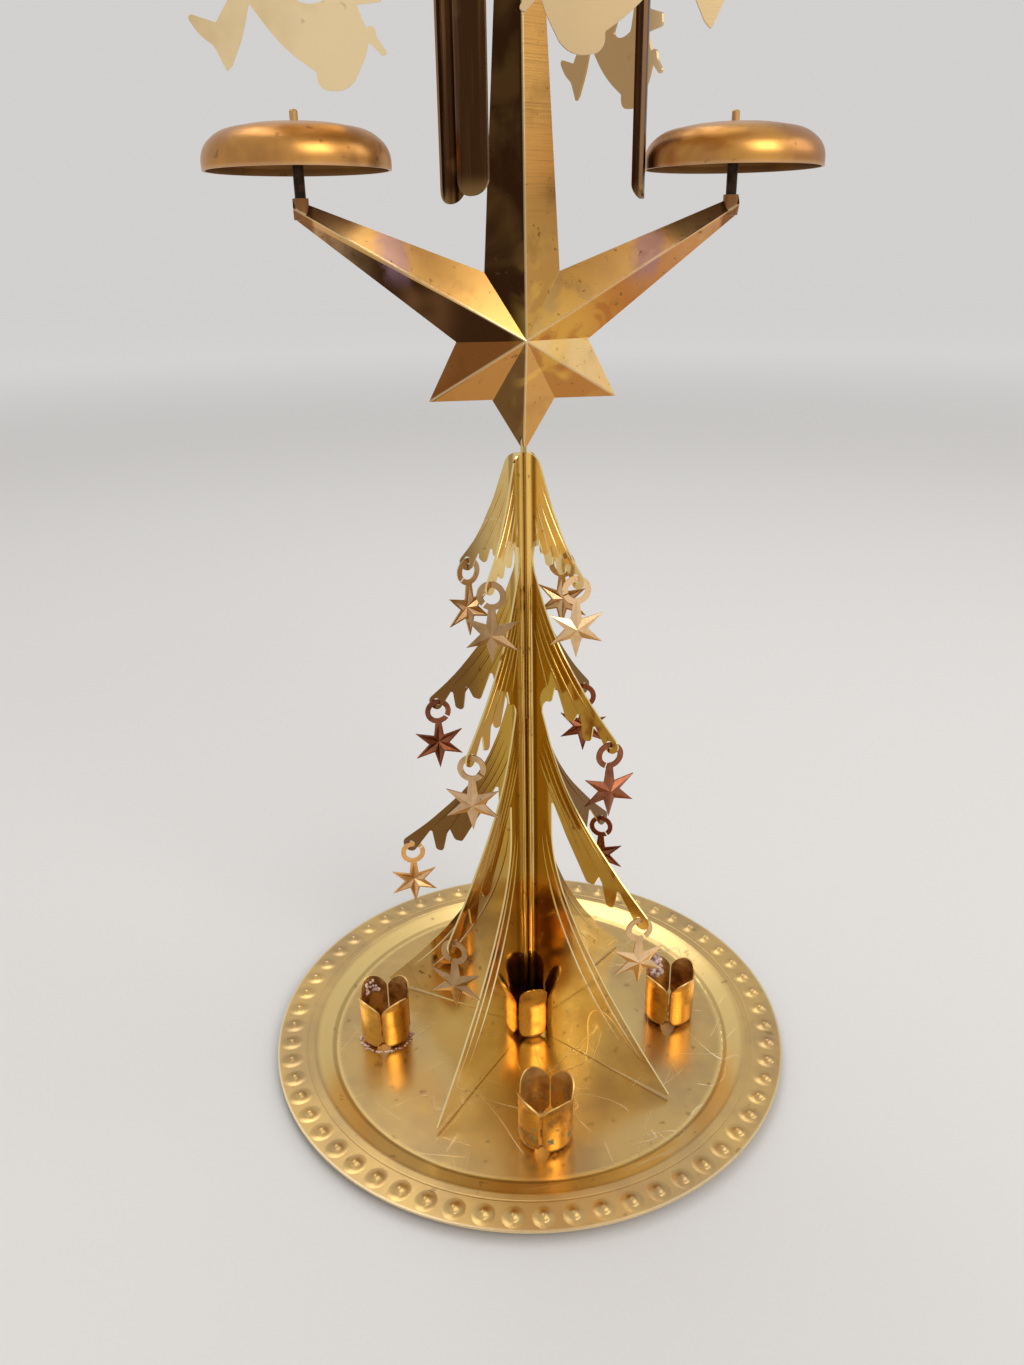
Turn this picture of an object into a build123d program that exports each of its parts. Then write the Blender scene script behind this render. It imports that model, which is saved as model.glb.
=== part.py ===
from build123d import *
import os
from math import asin, cos, degrees, radians, sin, sqrt, tan

# Angel chime carousel in brass: a beaded tray with four candle cups, a cross-slotted tree hung
# with twelve star pendants, a folded star with two arms that carry the bells, and a fan on a
# needle that carries three angels and three strikers round.
# Lengths are in millimetres, Z is up and the origin is the middle of the tray, on the table.

# Fits that every piece shares
face_gap = 0.05
running_gap = 0.1
overrun = 2.0
full_turn = 360
half_turn = full_turn / 2
quarter_turn = half_turn / 2

# Tray
tray_radius = 72.5
tray_sheet = 0.6
flange_height = 3.2
flange_width = 10.0
slope_width = 6.0
flange_inner_radius = tray_radius - flange_width
well_radius = flange_inner_radius - slope_width
tray_bend_radius = 1.5
bead_count = 60
bead_inset = 3.5
bead_ring_radius = tray_radius - bead_inset
bead_half_width = 1.8
bead_height = 0.8

# Candle cups and the clip that grips the tree
cup_radius = 7.05
cup_height = 16.4
cup_sheet = 0.45
cup_corner_radius = 2.2
cup_slot = 0.35
cup_flare = 0.7
cup_flare_height = 3.0
cup_relief_radius = 1.1
cup_relief_height = 1.55
cup_tongue_count = 4
cup_inset = 14.7
cup_ring_radius = well_radius - cup_inset
cup_ring_turn = -3.0
clip_radius = 7.0
clip_height = 20.0
clip_slot = 0.9
clip_flare = 2.8
clip_flare_height = 8.0
cup_places = {
    "candle_holder_right": (0, -18),
    "candle_holder_back": (90, -14),
    "candle_holder_left": (180, -10),
    "candle_holder_front": (270, -20),
}

# Rivets that hold the cups and the clip
rivet_radius = 1.0
rivet_head_radius = 1.8
rivet_head_height = 0.5

# Tree: two sheets that cross, each with two wings at the azimuths that the bent sheets really have
tree_sheet = 0.5
tree_height = 168.4
tree_inset = 8.3
tree_reach = well_radius - tree_inset
tree_slenderness = 3.5
tree_rounding_size = min(tree_reach, tree_height / tree_slenderness)
slot_half_width = 0.45
slot_middle_share = 0.594
slot_middle_height = tree_height * slot_middle_share
tree_notch_half_width = 6.4
tree_notch_height = 2.4
wing_azimuths = {"front_right": -47.0, "back_left": 147.0, "front_left": -129.0, "back_right": 43.5}
panel_wings = {"a": ("front_right", "back_left"), "b": ("front_left", "back_right")}
tongue_half_width = 0.9
tongue_height = 14.5

# Outline of one wing, from the top down to the foot: radius and height as shares of the reach and
# the height of the tree, and the rounding of each corner as a share of the rounding size
wing_share = (
    (0.084, 1.0, 0.080),
    (0.166, 0.933, 0.500),
    (0.262, 0.874, 0.700),
    (0.385, 0.829, 0.038),
    (0.315, 0.815, 0.036),
    (0.245, 0.857, 0.004),
    (0.258, 0.841, 0.017),
    (0.218, 0.833, 0.017),
    (0.178, 0.868, 0.008),
    (0.176, 0.848, 0.015),
    (0.140, 0.844, 0.015),
    (0.096, 0.889, 0.006),
    (0.094, 0.872, 0.012),
    (0.066, 0.870, 0.012),
    (0.043, 0.845, 0.200),
    (0.185, 0.737, 1.200),
    (0.420, 0.648, 1.800),
    (0.613, 0.593, 0.042),
    (0.537, 0.578, 0.038),
    (0.440, 0.623, 0.010),
    (0.424, 0.592, 0.020),
    (0.378, 0.589, 0.020),
    (0.355, 0.637, 0.010),
    (0.312, 0.615, 0.019),
    (0.270, 0.613, 0.019),
    (0.198, 0.668, 0.010),
    (0.172, 0.636, 0.016),
    (0.134, 0.634, 0.016),
    (0.100, 0.622, 0.080),
    (0.160, 0.566, 1.000),
    (0.250, 0.503, 1.100),
    (0.400, 0.441, 1.600),
    (0.640, 0.368, 1.800),
    (0.836, 0.317, 0.044),
    (0.763, 0.297, 0.043),
    (0.615, 0.358, 0.010),
    (0.590, 0.319, 0.020),
    (0.546, 0.319, 0.020),
    (0.503, 0.371, 0.010),
    (0.462, 0.347, 0.022),
    (0.414, 0.347, 0.022),
    (0.362, 0.373, 0.100),
    (0.274, 0.416, 0.200),
    (0.171, 0.474, 0.010),
    (0.172, 0.377, 0.900),
    (0.254, 0.304, 1.200),
    (0.385, 0.232, 1.800),
    (0.551, 0.161, 2.000),
    (0.768, 0.083, 2.000),
    (1.000, 0.0095, 0.012),
)
# Hanging holes at the three branch tips, as shares of the same reach and height
branch_hole_share = {"upper": (0.322, 0.8355), "middle": (0.540, 0.596), "lower": (0.756, 0.318)}
branch_hole_radius = 1.0

# Star pendants: an open ring, a neck and an embossed six-pointed star in one stamping
ring_radius = 3.5
ring_bore_radius = 2.1
ring_gap = 0.5
ring_seat_gap = 0.1
pendant_sheet = 0.4
pendant_ray_count = 6
pendant_star_radius = 7.4
pendant_waist_radius = 2.8
pendant_drop = 9.6
pendant_emboss = 1.1
pendant_hollow_share = 0.8
neck_half_width_low = 1.3
neck_half_width_high = 0.8
# Turn of each pendant out of the plane across its wing, and the azimuth of the gap in its ring
pendant_turns = {
    ("upper", "front_right"): (-42, 200),
    ("middle", "front_right"): (-34, 250),
    ("lower", "front_right"): (-40, 300),
    ("upper", "back_left"): (-24, 320),
    ("middle", "back_left"): (-50, 215),
    ("lower", "back_left"): (-54, 150),
    ("upper", "front_left"): (20, 230),
    ("middle", "front_left"): (24, 325),
    ("lower", "front_left"): (12, 250),
    ("upper", "back_right"): (20, 210),
    ("middle", "back_right"): (25, 315),
    ("lower", "back_right"): (22, 235),
}

# Folded star with the spire and the two bell arms, made of a front and a back shell. Its corners
# are given across from its middle line and up from its middle
star_middle_rise = 25.2
star_middle_height = tree_height + star_middle_rise
star_depth = 5.5
star_sheet = 0.3
star_hollow_share = 0.86
spire_point_rise = 149.4
spire_top_rise = 109.4
spire_root_half_width = 8.3
spire_root_rise = 14.0
arm_point_x = 57.4
arm_point_rise = 32.4
side_valley_x = 14.9
side_valley_drop = 0.3
low_ray_x = 21.5
low_ray_drop = 13.0
low_valley_x = 7.2
low_valley_drop = 13.0
star_foot_drop = 25.0
star_foot_cut_drop = 23.8
spire_top_height = star_middle_height + spire_top_rise

# Bells and the posts that the arm ends are rolled round
bell_offset = 46.3
bell_radius = 19.2
bell_rim_rise = 34.0
bell_height = 8.6
bell_sheet = 0.6
bell_rim_height = star_middle_height + bell_rim_rise
bell_top_height = bell_rim_height + bell_height
post_radius = 1.15
post_below_rim = 9.2
post_foot_height = bell_rim_height - post_below_rim
pin_radius = 0.85
pin_above_bell = 2.6
pin_top_height = bell_top_height + pin_above_bell
pin_chamfer = 0.28
sleeve_wall = 0.5
sleeve_length = 4.1

# Profile of a bell from the hole in its crown out to the rim and back inside, as shares of its
# radius and height, with the rounding of each corner as a share of its height
bell_outer_share = (
    (0.42, 1.00, 3.00),
    (0.80, 0.84, 0.90),
    (1.00, 0.46, 0.62),
    (1.00, 0.00, 0.00),
)
bell_inner_height_share = (0.43, 0.78)
bell_inner_rounding_share = (0.55, 0.83, 2.93)

# Needle and the turned bearing that rides on it
needle_radius = 0.7
needle_in_spire = 15.0
needle_above_spire = 19.2
needle_foot_height = spire_top_height - needle_in_spire
needle_top_height = spire_top_height + needle_above_spire
needle_point_length = 3.0
needle_point_radius = 0.18
bearing_radius = 2.5
bearing_bore_radius = 1.2
bearing_foot_gap = 1.0
bearing_crown = 1.65
bearing_edge_radius = 1.25
bearing_flange_radius = 4.2
bearing_flange_height = 0.8
needle_tip_gap = 0.15
bearing_cone_height = 1.6
bearing_cone_radius = 0.35
spacer_radius = 3.4
spacer_length = 10.0
collar_radius = 4.0
collar_height = 1.2
collar_chamfer = 0.4

# Fan
fan_radius = 64.0
fan_hub_radius = 15.0
fan_sheet = 0.5
blade_count = 12
blade_pitch = 24.0
blade_root_width = 3.4
blade_root_pitch = 6.0
blade_shoulder_radius = 22.0
blade_shoulder_width = 9.6
blade_tip_width = 27.0
blade_root_overlap = 2.0

# Hanger with three long arms for the angels and three short arms for the strikers
hanger_sheet = 0.6
hanger_hub_radius = 7.0
hanger_arm_width = 3.2
hanger_slope = 5.9
eye_radius = 2.9
eye_hole_radius = 1.0
angel_arm_radius = 45.4
angel_azimuths = {"left": 180.0, "back": 55.0, "front": 285.0}
striker_azimuths = {"right": 0.0, "back": 120.0, "front": 240.0}

# Jump rings
link_radius = 2.6
link_wire_radius = 0.4
link_offset = 1.9

# Strikers: gutter-shaped strips that hang just inside the bell rims
striker_width = 6.4
striker_sheet = 0.6
striker_curve_radius = 5.0
striker_below_rim = 5.8
striker_foot_height = bell_rim_height - striker_below_rim
striker_head_length = 2.0
striker_gap = 0.4
striker_balance = 0.72
link_hole_radius = 0.85

# Angels: flat cut-out figures with a wing, a gown and a horn
angel_sheet = 0.6
angel_drop = 54.3
angel_balance = 0.42
angel_tail_azimuths = {"left": 176.0, "back": 116.0, "front": -5.0}
# Outline of an angel from the lower tip of the train round by the gown, foot, hands, horn, head
# and wing, as shares of the drop from the hanging link to the lowest point of the gown
angel_outline_share = (
    (-0.373, 0.247, 0.012),
    (-0.329, 0.177, 0.150),
    (-0.277, 0.140, 0.060),
    (-0.240, 0.059, 0.006),
    (-0.218, 0.081, 0.020),
    (-0.172, 0.169, 0.300),
    (-0.139, 0.273, 0.003),
    (-0.051, 0.157, 0.500),
    (0.019, 0.099, 0.500),
    (0.086, 0.055, 0.006),
    (0.086, 0.000, 0.040),
    (0.205, -0.010, 0.090),
    (0.268, 0.104, 0.200),
    (0.284, 0.152, 0.004),
    (0.331, 0.107, 0.010),
    (0.352, 0.116, 0.010),
    (0.315, 0.164, 0.060),
    (0.306, 0.208, 0.018),
    (0.276, 0.197, 0.004),
    (0.246, 0.269, 0.006),
    (0.340, 0.278, 0.014),
    (0.336, 0.326, 0.014),
    (0.240, 0.356, 0.060),
    (0.203, 0.424, 0.060),
    (0.228, 0.506, 0.020),
    (0.392, 0.610, 0.008),
    (0.366, 0.712, 0.008),
    (0.280, 0.640, 0.120),
    (0.202, 0.610, 0.010),
    (0.212, 0.642, 0.010),
    (0.204, 0.690, 0.040),
    (0.148, 0.750, 0.050),
    (0.080, 0.742, 0.050),
    (0.046, 0.682, 0.040),
    (0.056, 0.600, 0.010),
    (0.030, 0.606, 0.010),
    (0.018, 0.800, 0.500),
    (-0.016, 0.930, 0.050),
    (-0.090, 0.922, 0.060),
    (-0.200, 0.800, 0.300),
    (-0.330, 0.630, 0.012),
    (-0.262, 0.622, 0.006),
    (-0.318, 0.520, 0.012),
    (-0.238, 0.518, 0.006),
    (-0.272, 0.424, 0.012),
    (-0.196, 0.422, 0.060),
    (-0.168, 0.340, 0.040),
    (-0.211, 0.285, 0.200),
    (-0.262, 0.214, 0.006),
)
# Opening between the arm and the gown, in the same shares
angel_opening_share = (
    (0.018, 0.288, 0.020),
    (0.080, 0.264, 0.100),
    (0.140, 0.286, 0.020),
    (0.165, 0.395, 0.060),
    (0.100, 0.440, 0.030),
)
angel_eye_radius = 2.0
angel_neck_half_width = 1.5

os.makedirs("parts", exist_ok=True)


def direction(azimuth):
    """Unit vector in the floor plane at an azimuth in degrees."""
    return Vector(cos(radians(azimuth)), sin(radians(azimuth)), 0)


def upright_plane(origin, azimuth):
    """Plane whose X runs along the azimuth, whose Y is up and whose normal is level."""
    return Plane(origin=origin, x_dir=direction(azimuth), z_dir=direction(azimuth - quarter_turn))


def finish(builder, label):
    """Name a finished piece and write it."""
    builder.part.label = label
    export_step(builder.part, f"parts/{label}.step")


def scaled(shares, width, height):
    """Points of an outline from its shares of a width and a height."""
    return [(across * width, up * height) for across, up, _ in shares]


def roundings(shares, size):
    """Corner radii of an outline from its shares of one size."""
    return [rounding * size for _, _, rounding in shares]


# Tray with its ring of embossed beads
cup_centres = [
    direction(place_azimuth + cup_ring_turn) * cup_ring_radius
    for place_azimuth, _ in cup_places.values()
]
bead_ball_radius = (bead_half_width**2 + bead_height**2) / (2 * bead_height)
bead_latitude = degrees(asin((bead_ball_radius - bead_height) / bead_ball_radius))
flange_underside = flange_height - tray_sheet
bend_radii = [tray_bend_radius, tray_bend_radius]
with BuildPart() as tray:
    with BuildSketch(Plane.XZ):
        with BuildLine():
            FilletPolyline(
                (0, 0),
                (well_radius, 0),
                (flange_inner_radius, flange_underside),
                (tray_radius, flange_underside),
                (tray_radius, flange_height),
                (flange_inner_radius - tray_sheet / 2, flange_height),
                (well_radius - tray_sheet / 2, tray_sheet),
                (0, tray_sheet),
                radius=[0, *bend_radii, 0, 0, *bend_radii, 0],
                close=True,
            )
        make_face()
    revolve(axis=Axis.Z)
    with PolarLocations(bead_ring_radius, bead_count):
        with Locations((0, 0, flange_height + bead_height - bead_ball_radius)):
            Sphere(bead_ball_radius, arc_size1=bead_latitude, align=None)
    with BuildSketch():
        with Locations((0, 0), *[(centre.X, centre.Y) for centre in cup_centres]):
            Circle(rivet_radius + face_gap)
    extrude(amount=tray_sheet, mode=Mode.SUBTRACT)
finish(tray, "tray")


def tongued_cup(label, centre, slots, radius, height, slot, flare, flare_height):
    """Cup of tongues bent up from a cross, with round ends that flare and a hole below each slot."""
    floor = Plane(origin=(centre.X, centre.Y, tray_sheet), x_dir=(1, 0, 0), z_dir=(0, 0, 1))
    corner_radius = radius - cup_corner_radius
    inner_radius = radius - cup_sheet
    next_slots = [*slots[1:], slots[0] + full_turn]
    half_angle = min(radians(end - start) / 2 for start, end in zip(slots, next_slots))
    half_width = inner_radius * sin(half_angle - asin(slot / 2 / inner_radius))
    with BuildPart(floor) as tongues:
        Cylinder(corner_radius, cup_sheet, align=(Align.CENTER, Align.CENTER, Align.MIN))
        for slot_azimuth, next_azimuth in zip(slots, next_slots):
            outward = direction((slot_azimuth + next_azimuth) / 2)
            across = outward.rotate(Axis.Z, quarter_turn)
            side = Plane(
                origin=floor.origin + outward * (corner_radius - face_gap), x_dir=across, z_dir=outward
            )
            with BuildSketch(side) as tongue:
                Rectangle(2 * half_width, height, align=(Align.CENTER, Align.MIN))
                fillet(tongue.vertices().group_by(Axis.Z)[-1], half_width - face_gap)
            extrude(amount=radius + flare)
    with BuildPart() as cup:
        with BuildSketch(Plane(origin=floor.origin, x_dir=floor.x_dir, z_dir=-floor.y_dir)):
            with BuildLine():
                FilletPolyline(
                    (0, 0),
                    (radius, 0),
                    (radius, height - flare_height),
                    (radius + flare, height),
                    (radius + flare - cup_sheet, height),
                    (radius - cup_sheet, height - flare_height),
                    (radius - cup_sheet, cup_sheet),
                    (0, cup_sheet),
                    radius=[
                        0,
                        cup_corner_radius,
                        flare_height,
                        0,
                        0,
                        flare_height,
                        cup_corner_radius - cup_sheet,
                        0,
                    ],
                    close=True,
                )
            make_face()
        revolve(axis=Axis(floor.origin, (0, 0, 1)))
        add(tongues.part, mode=Mode.INTERSECT)
        with BuildSketch(floor):
            with Locations(*[tuple(direction(azimuth) * corner_radius)[:2] for azimuth in slots]):
                Circle(cup_relief_radius)
            Circle(rivet_radius + face_gap)
        extrude(amount=cup_relief_height, mode=Mode.SUBTRACT)
    finish(cup, label)


for (holder_name, (_, holder_turn)), cup_centre in zip(cup_places.items(), cup_centres):
    tongued_cup(
        holder_name,
        cup_centre,
        [holder_turn + full_turn / cup_tongue_count * slot for slot in range(cup_tongue_count)],
        cup_radius,
        cup_height,
        cup_slot,
        cup_flare,
        cup_flare_height,
    )
tongued_cup(
    "centre_clip",
    Vector(0, 0, 0),
    sorted(wing_azimuths.values()),
    clip_radius,
    clip_height,
    clip_slot,
    clip_flare,
    clip_flare_height,
)

# Rivets, each with a round head inside its cup and a shank through the tray
rivet_head_seat = tray_sheet + cup_sheet
with BuildPart() as rivets:
    for rivet_centre in [Vector(0, 0, 0)] + cup_centres:
        with BuildSketch(Plane(origin=rivet_centre, x_dir=(1, 0, 0), z_dir=(0, -1, 0))):
            with BuildLine():
                Polyline(
                    (0, face_gap),
                    (rivet_radius, face_gap),
                    (rivet_radius, rivet_head_seat),
                    (rivet_head_radius, rivet_head_seat),
                )
                RadiusArc(
                    (rivet_head_radius, rivet_head_seat),
                    (0, rivet_head_seat + rivet_head_height),
                    -(rivet_head_radius**2 + rivet_head_height**2) / (2 * rivet_head_height),
                )
                Line((0, rivet_head_seat + rivet_head_height), (0, face_gap))
            make_face()
        revolve(axis=Axis(rivet_centre, (0, 0, 1)))
finish(rivets, "rivets")

# Tree panels
wing_foot_height = tray_sheet
tongue_azimuth = (wing_azimuths["front_left"] + wing_azimuths["back_right"] + half_turn) / 2
slot_azimuths = {
    "a": tongue_azimuth,
    "b": (wing_azimuths["front_right"] + wing_azimuths["back_left"] - half_turn) / 2,
}
branch_holes = {
    branch: (across * tree_reach, up * tree_height) for branch, (across, up) in branch_hole_share.items()
}
for panel_name, wings in panel_wings.items():
    upper_slot = panel_name == "a"
    with BuildPart() as panel:
        for wing in wings:
            with BuildSketch(upright_plane((0, 0, 0), wing_azimuths[wing])):
                with BuildLine():
                    FilletPolyline(
                        (-tree_sheet / 2, tree_height),
                        *scaled(wing_share, tree_reach, tree_height),
                        (tree_notch_half_width, wing_foot_height),
                        (tree_notch_half_width, wing_foot_height + tree_notch_height),
                        (-tree_sheet / 2, wing_foot_height + tree_notch_height),
                        radius=[0, *roundings(wing_share, tree_rounding_size), 0, 0, 0],
                        close=True,
                    )
                make_face()
                with Locations(*branch_holes.values()):
                    Circle(branch_hole_radius, mode=Mode.SUBTRACT)
            extrude(amount=tree_sheet / 2, both=True)
        if not upper_slot:
            tongue_seat = Plane(
                origin=(0, 0, tree_height), x_dir=direction(tongue_azimuth), z_dir=(0, 0, 1)
            )
            with BuildSketch(tongue_seat):
                Rectangle(2 * tongue_half_width, tree_sheet)
            extrude(amount=tongue_height)
        slot_foot = slot_middle_height if upper_slot else wing_foot_height
        slot_length = tree_height - slot_foot if upper_slot else slot_middle_height - slot_foot
        slot_plane = Plane(
            origin=(0, 0, slot_foot), x_dir=direction(slot_azimuths[panel_name]), z_dir=(0, 0, 1)
        )
        with BuildSketch(slot_plane):
            Rectangle(2 * slot_half_width, 2 * slot_half_width)
        extrude(amount=slot_length, mode=Mode.SUBTRACT)
    finish(panel, f"tree_panel_{panel_name}")

# Star pendants, each hooked through the hole at one branch tip
ring_drop = (ring_radius + ring_bore_radius) / 2 + ring_seat_gap
star_drop = ring_drop + pendant_drop
neck_top = ring_drop + (ring_radius + ring_bore_radius) / 2


def star_points(tip_radius, waist_radius, drop):
    """Corners of a star hung below the origin, from its top ray round."""
    points = []
    for ray in range(pendant_ray_count):
        tip_turn = radians(full_turn / pendant_ray_count * ray)
        waist_turn = tip_turn + radians(half_turn / pendant_ray_count)
        points.append((tip_radius * sin(tip_turn), tip_radius * cos(tip_turn) - drop))
        points.append((waist_radius * sin(waist_turn), waist_radius * cos(waist_turn) - drop))
    return points


for (branch, wing), (twist, gap_azimuth) in pendant_turns.items():
    hole_radius, hole_height = branch_holes[branch]
    hole_centre = direction(wing_azimuths[wing]) * hole_radius + Vector(0, 0, hole_height)
    hang = upright_plane(hole_centre, wing_azimuths[wing] + quarter_turn + twist)
    front = hang.offset(pendant_sheet / 2)
    back = hang.offset(-pendant_sheet / 2)
    with BuildSketch(front) as star_face:
        Polygon(*star_points(pendant_star_radius, pendant_waist_radius, star_drop), align=None)
    with BuildSketch(back) as hollow_face:
        Polygon(
            *star_points(
                pendant_star_radius * pendant_hollow_share,
                pendant_waist_radius * pendant_hollow_share,
                star_drop,
            ),
            align=None,
        )
    with BuildPart() as pendant:
        with BuildSketch(back):
            Polygon(*star_points(pendant_star_radius, pendant_waist_radius, star_drop), align=None)
            Polygon(
                (-neck_half_width_low, -star_drop + pendant_waist_radius),
                (neck_half_width_low, -star_drop + pendant_waist_radius),
                (neck_half_width_high, -neck_top),
                (-neck_half_width_high, -neck_top),
                align=None,
            )
            with Locations((0, -ring_drop)):
                Circle(ring_radius)
        extrude(amount=pendant_sheet)
        with BuildSketch(back):
            with Locations((0, -ring_drop)):
                Circle(ring_bore_radius)
                with Locations(Location((0, 0, 0), gap_azimuth)):
                    Rectangle(ring_radius + overrun, ring_gap, align=(Align.MIN, Align.CENTER))
        extrude(amount=pendant_sheet, mode=Mode.SUBTRACT)
        crest = front.from_local_coords(Vector(0, -star_drop, pendant_emboss))
        loft(sections=[star_face.sketch, Vertex(*crest)], ruled=True)
        hollow_crest = back.from_local_coords(Vector(0, -star_drop, pendant_emboss))
        loft(sections=[hollow_face.sketch, Vertex(*hollow_crest)], ruled=True, mode=Mode.SUBTRACT)
    finish(pendant, f"star_pendant_{branch}_{wing}")

# Front and back shells of the folded star
half_outline = (
    (0, spire_point_rise),
    (spire_root_half_width, spire_root_rise),
    (arm_point_x, arm_point_rise),
    (side_valley_x, -side_valley_drop),
    (low_ray_x, -low_ray_drop),
    (low_valley_x, -low_valley_drop),
    (0, -star_foot_drop),
)
star_outline = [*half_outline, *[(-across, up) for across, up in half_outline[-2:0:-1]]]
hollow_outline = [(across * star_hollow_share, up * star_hollow_share) for across, up in star_outline]
sleeve_radius = post_radius + sleeve_wall
arm_end = bell_offset + sleeve_radius
with BuildPart() as star_cuts:
    with BuildSketch(Plane.XY.offset(needle_foot_height - face_gap)):
        Circle(needle_radius + face_gap)
    extrude(amount=needle_in_spire + overrun)
    with BuildSketch(Plane.XY.offset(post_foot_height - face_gap)):
        with Locations((bell_offset, 0), (-bell_offset, 0)):
            Circle(post_radius + face_gap)
    extrude(amount=bell_top_height - post_foot_height)
    tongue_cut = Plane(
        origin=(0, 0, tree_height - overrun), x_dir=direction(tongue_azimuth), z_dir=(0, 0, 1)
    )
    with BuildSketch(tongue_cut):
        Rectangle(2 * (tongue_half_width + running_gap), tree_sheet + 2 * running_gap)
    extrude(amount=tongue_height + overrun + running_gap)

for shell_name, toward in (("star_front_shell", -1), ("star_back_shell", 1)):
    rim = Plane(origin=(0, 0, star_middle_height), x_dir=(-toward, 0, 0), z_dir=(0, toward, 0))
    with BuildSketch(rim.offset(star_sheet)) as fold_face:
        Polygon(*star_outline, align=None)
    with BuildSketch(rim) as cavity_face:
        Polygon(*hollow_outline, align=None)
    with BuildPart() as shell:
        with BuildSketch(rim):
            Polygon(*star_outline, align=None)
        extrude(amount=star_sheet)
        loft(
            sections=[
                fold_face.sketch,
                Vertex(0, toward * (star_sheet + star_depth), star_middle_height),
            ],
            ruled=True,
        )
        cavity_depth = (star_sheet + star_depth) * star_hollow_share
        loft(
            sections=[cavity_face.sketch, Vertex(0, toward * cavity_depth, star_middle_height)],
            ruled=True,
            mode=Mode.SUBTRACT,
        )
        with BuildSketch(rim):
            with BuildLine():
                Polyline(
                    (-arm_end, -star_foot_cut_drop),
                    (arm_end, -star_foot_cut_drop),
                    (arm_end, spire_top_rise),
                    (-arm_end, spire_top_rise),
                    close=True,
                )
            make_face()
        extrude(amount=star_depth + overrun, mode=Mode.INTERSECT)
        with BuildSketch(Plane.XY.offset(post_foot_height)):
            with Locations((bell_offset, 0), (-bell_offset, 0)):
                Circle(sleeve_radius)
            with Locations((0, -toward * sleeve_radius)):
                Rectangle(2 * arm_end, 2 * sleeve_radius, mode=Mode.SUBTRACT)
        extrude(amount=sleeve_length)
        add(star_cuts.part, mode=Mode.SUBTRACT)
    finish(shell, shell_name)

# Bells: shallow domes with an upright rim, hung loosely on the pins
bell_hole_radius = pin_radius + running_gap
bell_inner_radius = bell_radius - bell_sheet
crown_inner_height = bell_height - bell_sheet
bell_profile = [
    (bell_hole_radius, bell_height),
    *scaled(bell_outer_share, bell_radius, bell_height),
    (bell_inner_radius, 0),
    (bell_inner_radius, bell_inner_height_share[0] * bell_height),
    (bell_outer_share[1][0] * bell_inner_radius, bell_inner_height_share[1] * bell_height),
    (bell_outer_share[0][0] * bell_radius, crown_inner_height),
    (bell_hole_radius, crown_inner_height),
]
bell_roundings = [
    0,
    *roundings(bell_outer_share, bell_height),
    0,
    *[share * bell_height for share in bell_inner_rounding_share],
    0,
]
pin_shoulder_height = bell_top_height - bell_sheet - face_gap
for bell_name, bell_x in (("left", -bell_offset), ("right", bell_offset)):
    bell_axis = Axis((bell_x, 0, 0), (0, 0, 1))
    with BuildPart() as bell:
        with BuildSketch(Plane(origin=(bell_x, 0, bell_rim_height), x_dir=(1, 0, 0), z_dir=(0, -1, 0))):
            with BuildLine():
                FilletPolyline(*bell_profile, radius=bell_roundings, close=True)
            make_face()
        revolve(axis=bell_axis)
    finish(bell, f"bell_{bell_name}")
    with BuildPart() as post:
        with BuildSketch(Plane(origin=(bell_x, 0, 0), x_dir=(1, 0, 0), z_dir=(0, -1, 0))):
            with BuildLine():
                Polyline(
                    (0, post_foot_height),
                    (post_radius, post_foot_height),
                    (post_radius, pin_shoulder_height),
                    (pin_radius, pin_shoulder_height),
                    (pin_radius, pin_top_height),
                    (0, pin_top_height),
                    close=True,
                )
            make_face()
        revolve(axis=bell_axis)
        chamfer(post.edges().group_by(Axis.Z)[-1], pin_chamfer)
    finish(post, f"bell_post_{bell_name}")

# Needle with its ground point
with BuildPart() as needle:
    with BuildSketch(Plane.XZ):
        with BuildLine():
            Polyline(
                (0, needle_foot_height),
                (needle_radius, needle_foot_height),
                (needle_radius, needle_top_height - needle_point_length),
                (needle_point_radius, needle_top_height),
                (0, needle_top_height),
                close=True,
            )
        make_face()
    revolve(axis=Axis.Z)
finish(needle, "needle")

# Bearing tube with a blind conical seat for the needle and a flange for the hanger
bearing_foot_height = spire_top_height + bearing_foot_gap
hanger_seat_height = bearing_foot_height + bearing_flange_height
bearing_seat_height = needle_top_height + needle_tip_gap
bearing_top_height = bearing_seat_height + bearing_crown
with BuildPart() as bearing:
    with BuildSketch(Plane.XZ):
        with BuildLine():
            FilletPolyline(
                (bearing_bore_radius, bearing_foot_height),
                (bearing_flange_radius, bearing_foot_height),
                (bearing_flange_radius, hanger_seat_height),
                (bearing_radius, hanger_seat_height),
                (bearing_radius, bearing_top_height),
                (0, bearing_top_height),
                (0, bearing_seat_height),
                (bearing_cone_radius, bearing_seat_height),
                (bearing_bore_radius, bearing_seat_height - bearing_cone_height),
                radius=[0, 0, 0, 0, bearing_edge_radius, 0, 0, 0, 0],
                close=True,
            )
        make_face()
    revolve(axis=Axis.Z)
finish(bearing, "bearing_cap")

# Hanger
arm_drop_rate = tan(radians(hanger_slope))
striker_plane_radius = bell_offset - bell_radius - striker_gap
link_striker_radius = striker_plane_radius - striker_balance
striker_arm_radius = link_striker_radius - link_offset
hanger_top_height = hanger_seat_height + hanger_sheet


def eye_height(radius):
    """Height of the top of a sloping hanger arm at a radius."""
    return hanger_top_height - (radius - hanger_hub_radius) * arm_drop_rate


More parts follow.
